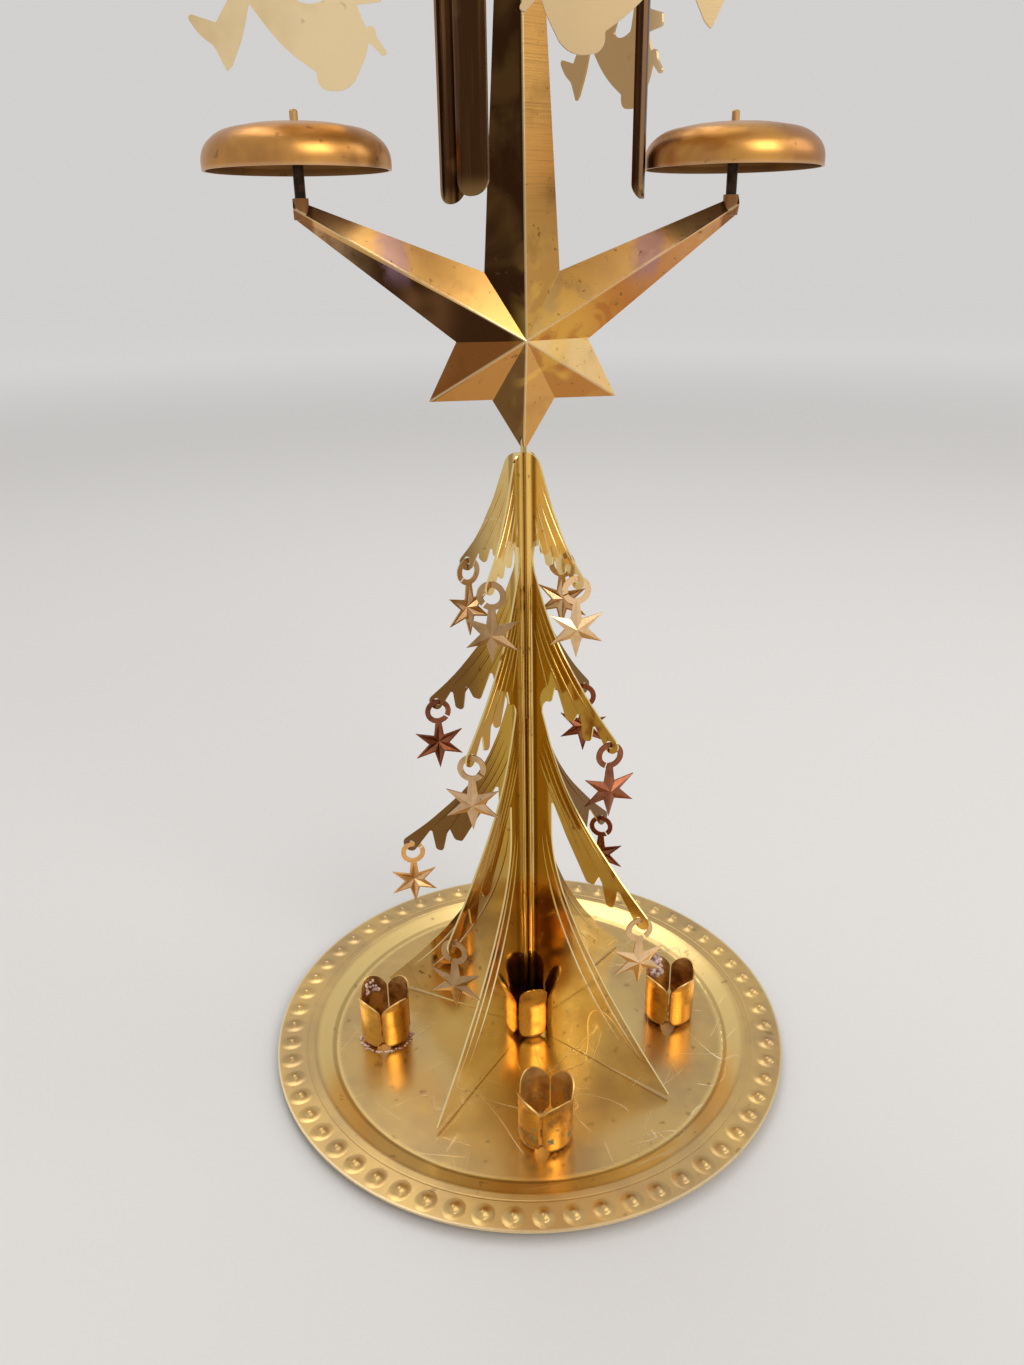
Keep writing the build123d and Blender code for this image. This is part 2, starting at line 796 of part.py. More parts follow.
hanger_arms = [(azimuth, angel_arm_radius) for azimuth in angel_azimuths.values()]
hanger_arms += [(azimuth, striker_arm_radius) for azimuth in striker_azimuths.values()]
with BuildPart() as hanger:
    with BuildSketch(Plane.XY.offset(hanger_seat_height)):
        Circle(hanger_hub_radius)
    extrude(amount=hanger_sheet)
    for azimuth, arm_radius in hanger_arms:
        outward = direction(azimuth)
        slope = radians(hanger_slope)
        arm_plane = Plane(
            origin=outward * hanger_hub_radius + Vector(0, 0, hanger_top_height),
            x_dir=outward * cos(slope) - Vector(0, 0, sin(slope)),
            z_dir=outward * sin(slope) + Vector(0, 0, cos(slope)),
        )
        arm_length = (arm_radius - hanger_hub_radius) / cos(slope)
        with BuildSketch(arm_plane):
            with Locations((-overrun, 0)):
                Rectangle(arm_length + overrun, hanger_arm_width, align=(Align.MIN, Align.CENTER))
            with Locations((arm_length, 0)):
                Circle(eye_radius)
                Circle(eye_hole_radius, mode=Mode.SUBTRACT)
        extrude(amount=-hanger_sheet)
    with BuildSketch(Plane.XY.offset(hanger_seat_height - overrun)):
        Circle(bearing_radius + face_gap)
    extrude(amount=2 * overrun, mode=Mode.SUBTRACT)
finish(hanger, "hanger")

# Spacer, fan and collar that stack on the bearing above the hanger
fan_seat_height = hanger_top_height + spacer_length
fan_top_height = fan_seat_height + fan_sheet
with BuildPart() as spacer:
    with BuildSketch(Plane.XY.offset(hanger_top_height)):
        Circle(spacer_radius)
        Circle(bearing_radius + face_gap, mode=Mode.SUBTRACT)
    extrude(amount=spacer_length)
finish(spacer, "fan_spacer")
with BuildPart() as collar:
    with BuildSketch(Plane.XY.offset(fan_top_height)):
        Circle(collar_radius)
        Circle(bearing_radius + face_gap, mode=Mode.SUBTRACT)
    extrude(amount=collar_height)
    chamfer(collar.edges().group_by(Axis.Z)[-1].sort_by(SortBy.RADIUS)[-1], collar_chamfer)
finish(collar, "fan_collar")


def blade_section(radius, width, pitch):
    """Upright cross-section of a blade at a radius along X."""
    tilt = radians(pitch)
    plane = Plane(
        origin=(radius, 0, fan_seat_height + fan_sheet / 2),
        x_dir=(0, cos(tilt), sin(tilt)),
        z_dir=(1, 0, 0),
    )
    with BuildSketch(plane) as section:
        Rectangle(width, fan_sheet)
    return section.sketch


with BuildPart() as blade:
    loft(
        sections=[
            blade_section(fan_hub_radius - blade_root_overlap, blade_root_width, blade_root_pitch),
            blade_section(blade_shoulder_radius, blade_shoulder_width, blade_pitch),
            blade_section(fan_radius, blade_tip_width, blade_pitch),
        ],
        ruled=True,
    )
    with BuildSketch(Plane.XY.offset(fan_seat_height - fan_radius)):
        Circle(fan_radius)
    extrude(amount=2 * fan_radius, mode=Mode.INTERSECT)
with BuildPart() as fan:
    with BuildSketch(Plane.XY.offset(fan_seat_height)):
        Circle(fan_hub_radius)
        Circle(bearing_radius + face_gap, mode=Mode.SUBTRACT)
    extrude(amount=fan_sheet)
    with PolarLocations(0, blade_count):
        add(blade.part)
finish(fan, "fan")


def link_place(azimuth, arm_radius, link_azimuth):
    """Centre of a jump ring that passes through an arm's eye and leans out along an azimuth."""
    eye = direction(azimuth) * arm_radius
    ring_top = eye_height(arm_radius) - hanger_sheet / 2
    sag = sqrt(link_radius**2 - link_offset**2)
    return eye + direction(link_azimuth) * link_offset + Vector(0, 0, ring_top - sag)


angel_links = {
    name: (
        link_place(azimuth, angel_arm_radius, angel_tail_azimuths[name] - quarter_turn),
        angel_tail_azimuths[name] - quarter_turn,
    )
    for name, azimuth in angel_azimuths.items()
}
striker_links = {
    name: (link_place(azimuth, striker_arm_radius, azimuth), azimuth)
    for name, azimuth in striker_azimuths.items()
}
with BuildPart() as links:
    for link_centre, link_azimuth in [*angel_links.values(), *striker_links.values()]:
        link_plane = upright_plane(link_centre, link_azimuth)
        wire_plane = Plane(
            origin=link_centre + direction(link_azimuth) * link_radius,
            x_dir=direction(link_azimuth),
            z_dir=(0, 0, 1),
        )
        with BuildSketch(wire_plane):
            Circle(link_wire_radius)
        revolve(axis=Axis(link_centre, link_plane.z_dir))
finish(links, "jump_rings")

# Strikers
hole_drop = link_hole_radius - link_wire_radius - running_gap
for striker_name, (link_centre, azimuth) in striker_links.items():
    hole_height = link_centre.Z - link_radius - hole_drop
    striker_top_height = hole_height + striker_head_length
    striker_length = striker_top_height - striker_foot_height
    gutter_centre = direction(azimuth) * (striker_plane_radius - striker_curve_radius)
    face_plane = Plane(
        origin=(0, 0, striker_foot_height),
        x_dir=direction(azimuth + quarter_turn),
        z_dir=direction(azimuth),
    )
    with BuildPart() as striker:
        with BuildSketch(Plane.XY.offset(striker_foot_height)):
            with Locations((gutter_centre.X, gutter_centre.Y)):
                Circle(striker_curve_radius)
                Circle(striker_curve_radius - striker_sheet, mode=Mode.SUBTRACT)
        extrude(amount=striker_length)
        with BuildSketch(face_plane) as face:
            Rectangle(striker_width, striker_length, align=(Align.CENTER, Align.MIN))
            fillet(face.vertices(), striker_width / 2 - face_gap)
            with Locations((0, hole_height - striker_foot_height)):
                Circle(link_hole_radius, mode=Mode.SUBTRACT)
        reach = extrude(to_extrude=face.sketch, amount=striker_plane_radius + overrun, mode=Mode.PRIVATE)
        core = extrude(
            to_extrude=face.sketch, amount=striker_plane_radius - striker_curve_radius, mode=Mode.PRIVATE
        )
        add(reach - core, mode=Mode.INTERSECT)
    finish(striker, f"striker_{striker_name}")

# Angels
for angel_name, (link_centre, link_azimuth) in angel_links.items():
    pivot = link_centre - Vector(0, 0, link_radius)
    front_azimuth = angel_tail_azimuths[angel_name] + half_turn
    figure = upright_plane(
        pivot - Vector(0, 0, angel_drop) - direction(front_azimuth) * angel_balance, front_azimuth
    )
    with BuildPart() as angel:
        with BuildSketch(figure):
            with BuildLine():
                FilletPolyline(
                    *scaled(angel_outline_share, angel_drop, angel_drop),
                    radius=roundings(angel_outline_share, angel_drop),
                    close=True,
                )
            make_face()
            with Locations((angel_balance, angel_drop - hole_drop)):
                Circle(angel_eye_radius)
                Rectangle(
                    2 * angel_neck_half_width,
                    2 * angel_eye_radius + overrun,
                    align=(Align.CENTER, Align.MAX),
                )
            with BuildLine():
                FilletPolyline(
                    *scaled(angel_opening_share, angel_drop, angel_drop),
                    radius=roundings(angel_opening_share, angel_drop),
                    close=True,
                )
            make_face(mode=Mode.SUBTRACT)
            with Locations((angel_balance, angel_drop - hole_drop)):
                Circle(link_hole_radius, mode=Mode.SUBTRACT)
        extrude(amount=angel_sheet / 2, both=True)
    finish(angel, f"angel_{angel_name}")
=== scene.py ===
import math
import random

import bpy
from bpy.props import FloatProperty, FloatVectorProperty, IntProperty, PointerProperty
from mathutils import Matrix, Vector


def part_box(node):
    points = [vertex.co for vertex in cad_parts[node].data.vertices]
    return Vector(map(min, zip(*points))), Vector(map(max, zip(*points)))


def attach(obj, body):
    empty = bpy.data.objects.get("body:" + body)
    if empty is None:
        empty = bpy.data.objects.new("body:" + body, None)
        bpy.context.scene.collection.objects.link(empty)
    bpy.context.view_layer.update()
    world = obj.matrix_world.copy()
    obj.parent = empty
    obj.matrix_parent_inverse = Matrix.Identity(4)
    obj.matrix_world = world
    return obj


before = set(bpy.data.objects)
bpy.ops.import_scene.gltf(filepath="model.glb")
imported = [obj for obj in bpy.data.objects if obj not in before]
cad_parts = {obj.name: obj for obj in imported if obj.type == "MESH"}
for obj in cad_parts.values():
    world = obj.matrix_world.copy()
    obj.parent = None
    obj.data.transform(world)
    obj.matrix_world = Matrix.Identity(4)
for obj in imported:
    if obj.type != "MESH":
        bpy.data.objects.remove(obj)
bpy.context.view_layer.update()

bl_info = {
    "name": "Angel chime carousel",
    "version": (1, 0, 0),
    "blender": (4, 5, 0),
    "location": "3D View > Sidebar > Angel chime",
    "description": "Finishes the brass parts of an angel chime and adds its ribs, lips and wax",
    "category": "Object",
}

MM = 0.001
WHITE = (1.0, 1.0, 1.0)
BLACK = (0.0, 0.0, 0.0)
SMOOTH_ANGLE = math.radians(50)

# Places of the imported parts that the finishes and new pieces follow, in metres
WELL_EDGE = 56.5 * MM
SLOPE_EDGE = 62.5 * MM
TREE_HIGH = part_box("tree_panel_a")[1].z
TREE_REACH = 48.2 * MM
HALF_SHEET = 0.25 * MM
STAR_MIDDLE = TREE_HIGH + 25.2 * MM
CUPS = {place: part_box(f"candle_holder_{place}") for place in ("left", "right", "front", "back")}
BELLS = {side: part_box(f"bell_{side}") for side in ("left", "right")}
BELL_LOW, BELL_HIGH = BELLS["left"][0].z, BELLS["left"][1].z
BELL_RADIUS = (BELLS["left"][1].x - BELLS["left"][0].x) / 2

# Azimuths of the wings of the tree, in degrees
WINGS = {"front_right": -47.0, "back_left": 147.0, "front_left": -129.0, "back_right": 43.5}
# Pendants that aren't pale gold: four copper brown, three painted lighter as lit and two painted
# darker as in shade
COPPER_PENDANTS = (
    "middle_back_left", "middle_back_right", "middle_front_right", "lower_back_right",
)
LIT_PENDANTS = ("upper_front_right", "lower_back_left", "lower_front_right")
SHADED_PENDANTS = ("upper_front_left", "lower_front_left")

# Rings of a bead, from its foot inward: shares of its radius and height
MOUND_RINGS = (
    (0.88, 0.02), (0.76, 0.06), (0.64, 0.13), (0.52, 0.24),
    (0.40, 0.40), (0.29, 0.60), (0.19, 0.81), (0.10, 0.95),
)
# Hair scratches on the tray: turn of each set in radians, and a shift of its pattern
SCRATCH_SETS = ((0.4, 0.0), (1.3, 0.31), (2.2, 0.77), (2.9, 0.13), (1.8, 0.55), (0.9, 0.21))
# Ribs pressed into each wing, from the trunk outward, in shares of its reach and height
WING_RIBS = (
    ((0.089, 0.974), (0.124, 0.945), (0.175, 0.912), (0.246, 0.877), (0.325, 0.845)),
    ((0.084, 0.951), (0.119, 0.919), (0.165, 0.893), (0.210, 0.868), (0.240, 0.846)),
    ((0.078, 0.932), (0.098, 0.914), (0.126, 0.892), (0.146, 0.874), (0.158, 0.856)),
    ((0.066, 0.915), (0.074, 0.906), (0.079, 0.897), (0.081, 0.889), (0.080, 0.879)),
    ((0.050, 0.820), (0.130, 0.755), (0.223, 0.704), (0.377, 0.646), (0.505, 0.608)),
    ((0.047, 0.803), (0.115, 0.743), (0.200, 0.690), (0.310, 0.650), (0.402, 0.603)),
    ((0.045, 0.785), (0.095, 0.733), (0.160, 0.690), (0.235, 0.658), (0.291, 0.623)),
    ((0.045, 0.765), (0.075, 0.723), (0.110, 0.690), (0.138, 0.664), (0.153, 0.645)),
    ((0.094, 0.603), (0.187, 0.536), (0.295, 0.468), (0.500, 0.394), (0.710, 0.331)),
    ((0.085, 0.588), (0.170, 0.520), (0.290, 0.450), (0.440, 0.398), (0.567, 0.330)),
    ((0.080, 0.568), (0.145, 0.515), (0.225, 0.468), (0.345, 0.416), (0.437, 0.358)),
    ((0.078, 0.548), (0.115, 0.515), (0.160, 0.487), (0.215, 0.458), (0.300, 0.420)),
    (
        (0.122, 0.437), (0.140, 0.378), (0.217, 0.312), (0.330, 0.238), (0.515, 0.152),
        (0.700, 0.083), (0.900, 0.030),
    ),
    (
        (0.100, 0.430), (0.112, 0.365), (0.180, 0.290), (0.285, 0.220), (0.420, 0.150),
        (0.560, 0.097), (0.740, 0.045),
    ),
)
# Flat band pressed along the trunk, at the root of every wing, in the same shares
TRUNK_BAND = ((0.034, 0.935), (0.034, 0.720), (0.034, 0.500), (0.034, 0.280), (0.034, 0.045))
# Tips of the four slanted rays of the star, across and up from its middle
RAY_TIPS = (
    (57.4 * MM, 32.4 * MM), (-57.4 * MM, 32.4 * MM),
    (21.5 * MM, -13.0 * MM), (-21.5 * MM, -13.0 * MM),
)
# Wax on the cups: side, azimuth of the tongue in degrees, height of the lowest and the highest
# grain and size of the largest in millimetres, and number of grains
CUP_WAX = (("left", 125.0, 12.0, 16.2, 0.65, 18), ("right", 117.0, 10.5, 17.4, 0.90, 48))

# Camera in millimetres and degrees; lamps: place, target, size, share of the key power, colour
CAMERA_PLACE = (-36.81, -241.94, 213.8)
CAMERA_HEADING, CAMERA_TILT, CAMERA_ROLL = -7.83, -22.94, -0.84
LAMPS = {
    "key": ((0.48, -0.92, 0.94), (0, 0, 0.17), 0.7, 1.0, (1.0, 0.95, 0.88)),
    "side": ((1.0, -0.15, 0.75), (0, 0, 0.15), 0.6, 0.3, WHITE),
    "top": ((-0.1, 0.35, 1.05), (0, 0, 0.1), 0.6, 0.45, WHITE),
}


def middle(box):
    """Middle of a box given by its two corners."""
    return (box[0] + box[1]) / 2


def blend(first, second, share):
    """Plain colour between two plain colours."""
    return tuple(a * (1 - share) + b * share for a, b in zip(first, second))


def darker(colour, share):
    """Plain colour times a share."""
    return tuple(channel * share for channel in colour)


class Wire:
    """A value or colour inside a finish; arithmetic on it adds Math nodes."""

    def __init__(self, finish, socket):
        self.finish = finish
        self.socket = socket

    def __add__(self, other):
        return self.finish.math("ADD", self, other)

    __radd__ = __add__

    def __sub__(self, other):
        return self.finish.math("SUBTRACT", self, other)

    def __rsub__(self, other):
        return self.finish.math("SUBTRACT", other, self)

    def __mul__(self, other):
        return self.finish.math("MULTIPLY", self, other)

    __rmul__ = __mul__

    def __truediv__(self, other):
        return self.finish.math("DIVIDE", self, other)

    def __pow__(self, other):
        return self.finish.math("POWER", self, other)

    def __abs__(self):
        return self.finish.math("ABSOLUTE", self)


class Finish:
    """A finish under construction: its nodes are added by these methods."""

    def __init__(self, name):
        self.material = bpy.data.materials.new(name)
        self.material.use_nodes = True
        self.tree = self.material.node_tree
        self.tree.nodes.clear()
        self.shader = self.tree.nodes.new("ShaderNodeBsdfPrincipled")
        end = self.tree.nodes.new("ShaderNodeOutputMaterial")
        self.tree.links.new(self.shader.outputs["BSDF"], end.inputs["Surface"])
        self.place = self.node("ShaderNodeTexCoord", output="Object")
        self.x, self.y, self.z = self.parts(self.place)

    def join(self, socket, value):
        """Link a wire into a socket, or set a plain value on it."""
        if isinstance(value, Wire):
            self.tree.links.new(value.socket, socket)
        elif socket.type == "RGBA" and len(value) == 3:
            socket.default_value = (*value, 1.0)
        else:
            socket.default_value = value

    def node(self, kind, settings=None, inputs=None, output=0):
        """Add a node, set its settings and then its sockets, and give an output."""
        made = self.tree.nodes.new(kind)
        for name, value in (settings or {}).items():
            if name == "stops":
                self.stops(made.color_ramp, value)
            elif name == "interpolation":
                made.color_ramp.interpolation = value
            else:
                setattr(made, name, value)
        for key, value in (inputs or {}).items():
            self.join(made.inputs[key], value)
        return Wire(self, made.outputs[output])

    @staticmethod
    def stops(ramp, stops):
        """Give a colour ramp its stops, as pairs of place and colour."""
        for place, colour in stops[2:]:
            ramp.elements.new(place)
        for element, (place, colour) in zip(ramp.elements, sorted(stops)):
            element.position = place
            element.color = (*colour, 1.0)

    def math(self, operation, *values):
        """A Math node on wires and plain values."""
        return self.node("ShaderNodeMath", {"operation": operation}, dict(enumerate(values)))

    def parts(self, vector):
        """The three parts of a vector."""
        split = self.node("ShaderNodeSeparateXYZ", {}, {0: vector}).socket.node
        return tuple(Wire(self, split.outputs[axis]) for axis in "XYZ")

    def stretched(self, along_x, along_y, along_z, turn=(0, 0, 0), centre=(0, 0, 0)):
        """Place on the object with each axis scaled, for brushed lines and scratches."""
        inputs = {"Vector": self.place, "Rotation": turn, "Location": centre}
        turned = self.node("ShaderNodeMapping", {"vector_type": "POINT"}, inputs)
        inputs = {0: turned, 1: (along_x, along_y, along_z)}
        return self.node("ShaderNodeVectorMath", {"operation": "MULTIPLY"}, inputs)

    def noise(self, scale, detail=3.0, roughness=0.5, distortion=0.0, at=None):
        """Cloudy pattern from 0 to 1; the scale is in features per metre."""
        inputs = {
            "Vector": at or self.place, "Scale": scale, "Detail": detail,
            "Roughness": roughness, "Distortion": distortion,
        }
        return self.node("ShaderNodeTexNoise", {}, inputs)

    def step(self, value, low, high):
        """Smooth step of a value from 0 at low to 1 at high."""
        inputs = {"Value": value, "From Min": low, "From Max": high}
        settings = {"interpolation_type": "SMOOTHSTEP", "clamp": True}
        return self.node("ShaderNodeMapRange", settings, inputs)

    def line(self, distance, half_width):
        """Soft line that is 1 where a distance is 0 and fades out at its half width."""
        return 1 - self.step(abs(distance), half_width * 0.4, half_width)

    def layers(self, colour, *coats):
        """A colour with others laid over it, each a pair of share and colour."""
        for share, coat in coats:
            inputs = {0: share, 6: colour, 7: coat}
            colour = self.node("ShaderNodeMix", {"data_type": "RGBA"}, inputs, output=2)
        return colour

    def spots(self, scale, low, high, detail=2.0):
        """Spots where a cloudy pattern is high."""
        return self.step(self.noise(scale, detail=detail), low, high)

    def hair_scratches(self, turn, shift):
        """Patches of fine curved hair lines, where a slow pattern crosses its middle."""
        path = self.stretched(1.0, 0.28, 1.0, turn=(0, 0, turn), centre=(shift, shift * 2, 0))
        slow = self.noise(60.0, detail=0.6, distortion=0.25, at=path)
        apart = self.stretched(1.0, 1.0, 1.0, centre=(shift, 0, 0))
        patches = self.step(self.noise(48.0, detail=1.0, at=apart), 0.52, 0.60)
        return self.line(slow - 0.5, 0.0045) * patches

    def turning_rings(self, radius):
        """Fine rings left round the axis of a turned part."""
        inputs = {0: radius * 2600.0, 1: self.z * 900.0, 2: 0.0}
        place = self.node("ShaderNodeCombineXYZ", {}, inputs)
        return self.noise(1.0, roughness=0.7, at=place)

    def radius(self, centre_x=0.0, centre_y=0.0):
        """Distance from an upright line."""
        across = self.x - centre_x
        deep = self.y - centre_y
        return (across * across + deep * deep) ** 0.5

    def facing(self):
        """The three parts of the direction that the surface faces, on the object."""
        return self.parts(self.node("ShaderNodeTexCoord", output="Normal"))

    def sideways(self):
        """How far the surface faces round the upright axis: 1 on a sheet that stands out."""
        across, deep, _ = self.facing()
        return abs(self.x * deep - self.y * across) / (self.radius() + 1e-5)

    def metal(self, colour, roughness, relief, depth=0.05 * MM, metallic=1.0):
        """Set the shader's colour, roughness and relief."""
        bump = {"Strength": 1.0, "Distance": depth, "Height": relief}
        inputs = {"Base Color": colour, "Roughness": roughness, "Metallic": metallic}
        inputs["Normal"] = self.node("ShaderNodeBump", {}, bump)
        for name, value in inputs.items():
            self.join(self.shader.inputs[name], value)
        return self.material


def colour_prop(name, description, default):
    """A colour that a user may change."""
    return FloatVectorProperty(
        name=name, description=description, default=default,
        subtype="COLOR", size=3, min=0.0, max=1.0,
    )


def length_prop(name, description, millimetres):
    """A length that a user may change."""
    return FloatProperty(
        name=name, description=description, default=millimetres * MM, unit="LENGTH", min=0.0
    )


class TraySettings(bpy.types.PropertyGroup):
    brass: colour_prop("Brass", "Worn satin brass of the flange and well", (0.7, 0.47, 0.18))
    lacquer: colour_prop("Lacquer", "Yellow lacquer on slope and middle", (0.88, 0.65, 0.26))
    grey: colour_prop("Worn patches", "Greyish metal without lacquer", (0.53, 0.36, 0.165))
    ring_radius: length_prop("Ring line", "Radius of the line pressed inside the beads", 64.2)
    bead_ring: length_prop("Bead ring", "Radius of the ring of beads", 69.0)
    bead_count: IntProperty(name="Beads", description="Beads on the flange", default=60, min=3)
    flange_top: length_prop("Flange top", "Height of the flange", 3.2)
    mound_radius: length_prop("Bead foot", "Radius of the soft foot of a bead", 3.3)
    mound_height: length_prop("Bead height", "Height of a bead above the flange", 1.25)


class CupSettings(bpy.types.PropertyGroup):
    gold: colour_prop("Outside", "Orange gold of the outside", (0.78, 0.43, 0.1))
    soot: colour_prop("Inside", "Brown tarnish of the inside", (0.3, 0.14, 0.045))
    verdigris: colour_prop("Verdigris", "Green spots at the slots", (0.05, 0.16, 0.12))
    wax: colour_prop("Wax", "Old wax", (0.62, 0.36, 0.3))
    wax_seed: IntProperty(name="Wax seed", description="Shape of the old wax", default=4)


class TreeSettings(bpy.types.PropertyGroup):
    brass: colour_prop("Brass", "Yellow lacquered brass", (0.94, 0.69, 0.29))
    foot: colour_prop("Foot", "Pale worn brass of the feet", (0.96, 0.85, 0.58))
    middle: colour_prop("Middle", "Olive gold of the middle of the tree", (0.43, 0.215, 0.026))
    root: colour_prop("Root", "Yellow brass at the roots of the wings", (0.58, 0.365, 0.062))
    deep: colour_prop("Deep", "Deep olive gold in the worn folds", (0.4, 0.23, 0.05))
    rib_width: length_prop("Rib width", "Width of the pressed ribs", 0.8)
    rib_height: length_prop("Rib height", "Height of the ribs above the sheet", 0.25)
    band_width: length_prop("Band width", "Width of the flat band along the trunk", 2.2)


class StarSettings(bpy.types.PropertyGroup):
    brass: colour_prop("Brass", "Bare brass of the star", (0.74, 0.42, 0.13))
    copper: colour_prop("Copper tint", "Heat tint of copper", (0.5, 0.18, 0.035))
    violet: colour_prop("Violet tint", "Heat tint of violet", (0.34, 0.2, 0.26))
    # Used as patina and also as painted shade on the star's facets that are turned from the light
    patina_and_shade: colour_prop("Patina", "Dark patina of the shaded folds", (0.085, 0.034, 0.012))


class BellSettings(bpy.types.PropertyGroup):
    bronze: colour_prop("Bronze", "Satin golden brown of the bells", (0.68, 0.335, 0.083))
    rim: colour_prop("Rim", "Pinkish bright metal of the rim", (0.74, 0.45, 0.24))
    # Painted shade for the inside and the underside of the bells
    inside: colour_prop("Inside", "Dark inside of the bells", (0.09, 0.04, 0.015))
    lip: length_prop("Lip", "Thickness of the rolled lip", 0.5)


class RotorSettings(bpy.types.PropertyGroup):
    brass: colour_prop("Fan brass", "Satin brass of fan and hanger", (0.68, 0.48, 0.19))
    turned: colour_prop("Turned brass", "Turned parts on the needle", (0.62, 0.42, 0.16))


class HangingSettings(bpy.types.PropertyGroup):
    pale: colour_prop("Pale gold", "Matte pale gold of most pendants", (0.7, 0.46, 0.25))
    # Painted light and painted shade of the pale gold, for pendants that face the light and
    # pendants in shade
    bright: colour_prop("Bright gold", "Polished gold of three pendants", (0.92, 0.62, 0.34))
    dull: colour_prop("Dull gold", "Duller gold of two pendants", (0.5, 0.31, 0.15))
    copper: colour_prop("Copper brown", "Brown of four tarnished pendants", (0.36, 0.125, 0.06))
    bronze: colour_prop("Striker bronze", "Dark glossy bronze", (0.058, 0.024, 0.009))
    angel: colour_prop("Angel gold", "Pale gold of the angels", (0.98, 0.77, 0.45))
    ochre: colour_prop("Angel ochre", "Ochre tarnish of the angels", (0.44, 0.24, 0.08))


class StageSettings(bpy.types.PropertyGroup):
    floor: colour_prop("Floor", "Pale floor", (0.7, 0.69, 0.68))
    backdrop: colour_prop("Backdrop", "Floor far from the object", (0.97, 0.97, 0.97))
    sky: colour_prop("Surroundings", "What is seen or mirrored behind", (0.645, 0.635, 0.625))
    soft_light: colour_prop("Soft light", "Light from the surroundings", (0.66, 0.65, 0.64))
    key_power: FloatProperty(name="Key lamp", description="Its power", default=6.0, unit="POWER")
    lens: FloatProperty(name="Lens", description="Focal length in millimetres", default=27.508)


class ChimeSettings(bpy.types.PropertyGroup):
    tray: PointerProperty(type=TraySettings)
    cups: PointerProperty(type=CupSettings)
    tree: PointerProperty(type=TreeSettings)
    star: PointerProperty(type=StarSettings)
    bells: PointerProperty(type=BellSettings)
    rotor: PointerProperty(type=RotorSettings)
    hanging: PointerProperty(type=HangingSettings)
    stage: PointerProperty(type=StageSettings)


def dress(material, *nodes):
    """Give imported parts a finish."""
    for name in nodes:
        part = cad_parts[name]
        part.data.materials.clear()
        part.data.materials.append(material)


def named(start):
    """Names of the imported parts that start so."""
    names = [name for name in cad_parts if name.startswith(start)]
    if not names:
        raise RuntimeError(f"the frame holds no part named {start}...")
    return names


def deselect():
    """Clear the selection and the active object."""
    bpy.ops.object.select_all(action="DESELECT")
    bpy.context.view_layer.objects.active = None


def edit_whole():
    """Enter edit mode with everything selected."""
    bpy.ops.object.mode_set(mode="EDIT")
    bpy.ops.mesh.select_all(action="SELECT")


def turned_by(degrees):
    """A turn round the upright axis."""
    return Matrix.Rotation(math.radians(degrees), 4, "Z")


def copy_mesh(piece, name, place):
    """A copy of a piece with its own mesh, put in its place there."""
    copied = piece.copy()
    copied.name = name
    copied.data = piece.data.copy()
    copied.data.name = name
    copied.data.transform(place)
    bpy.context.scene.collection.objects.link(copied)
    return copied


def join_pieces(pieces, name, material):
    """Join shapes into one named piece whose place is in its mesh."""
    deselect()
    for piece in pieces:
        piece.select_set(True)
    bpy.context.view_layer.objects.active = pieces[0]
    bpy.ops.object.convert(target="MESH")
    if len(pieces) > 1:
        bpy.ops.object.join()
    bpy.ops.object.transform_apply(location=True, rotation=True, scale=True)
    joined = bpy.context.object
    joined.name = name
    joined.data.name = name
    joined.data.materials.clear()
    joined.data.materials.append(material)
    bpy.ops.object.shade_smooth_by_angle(angle=SMOOTH_ANGLE)
    deselect()
    return joined


def tray_finish(settings):
    """Worn satin brass with lacquer on the slope, hair scratches and a pressed ring."""
    made = Finish("tray_worn_brass")
    pale_hair, edge_gold = (0.88, 0.72, 0.48), (0.95, 0.8, 0.52)
    brown_spot, well_edge_brown = (0.25, 0.15, 0.06), (0.28, 0.17, 0.06)
    soft = 2.0 * MM
    radius = made.radius()
    clouds = made.noise(38.0, detail=4.0, roughness=0.6)
    smears = made.noise(9.0, at=made.stretched(1.0, 3.0, 1.0, turn=(0, 0, 0.6)))
    slope = made.step(radius, WELL_EDGE - soft, WELL_EDGE)
    slope = slope * (1 - made.step(radius, SLOPE_EDGE - soft, SLOPE_EDGE))
    round_tree = 1 - made.step(radius + (smears - 0.5) * (30 * MM), 20 * MM, 40 * MM)
    kept = round_tree * made.step(clouds, 0.3, 0.6) * 0.9
    lacquer = made.math("MAXIMUM", slope, kept)
    hairs = [made.hair_scratches(*path) for path in SCRATCH_SETS]
    busy = made.step(made.x - made.y, -10 * MM, 40 * MM) * 0.8 + 0.2
    scratches = sum(hairs[1:], hairs[0]) * busy * (1 - made.step(radius, 60 * MM, 62 * MM))
    ring = made.line(radius - settings.ring_radius, 0.35 * MM)
    colour = made.layers(
        settings.brass,
        (made.step(clouds, 0.38, 0.66), settings.grey),
        (lacquer * 0.85, settings.lacquer),
        (scratches * 0.5, pale_hair),
        (made.spots(260.0, 0.66, 0.74) * 0.5, brown_spot),
        # A darker line along the foot of the slope
        (made.line(radius - (WELL_EDGE + 0.2 * MM), 0.9 * MM) * 0.5, well_edge_brown),
        (made.step(radius, 71.8 * MM, 72.2 * MM) * 0.6, edge_gold),
    )
    drawn = made.stretched(6.0, 0.35, 1.0, turn=(0, 0, 0.9))
    brushing = made.noise(60.0, detail=5.0, roughness=0.65, at=drawn)
    flange = made.step(radius, 60.5 * MM, 64 * MM)
    roughness = 0.17 + 0.16 * clouds + 0.1 * flange - 0.08 * lacquer
    roughness = roughness + 0.12 * scratches + 0.16 * slope
    relief = brushing * 0.1 - scratches * 0.5 - ring + clouds * 0.6
    return made.metal(colour, roughness, relief, depth=0.06 * MM)


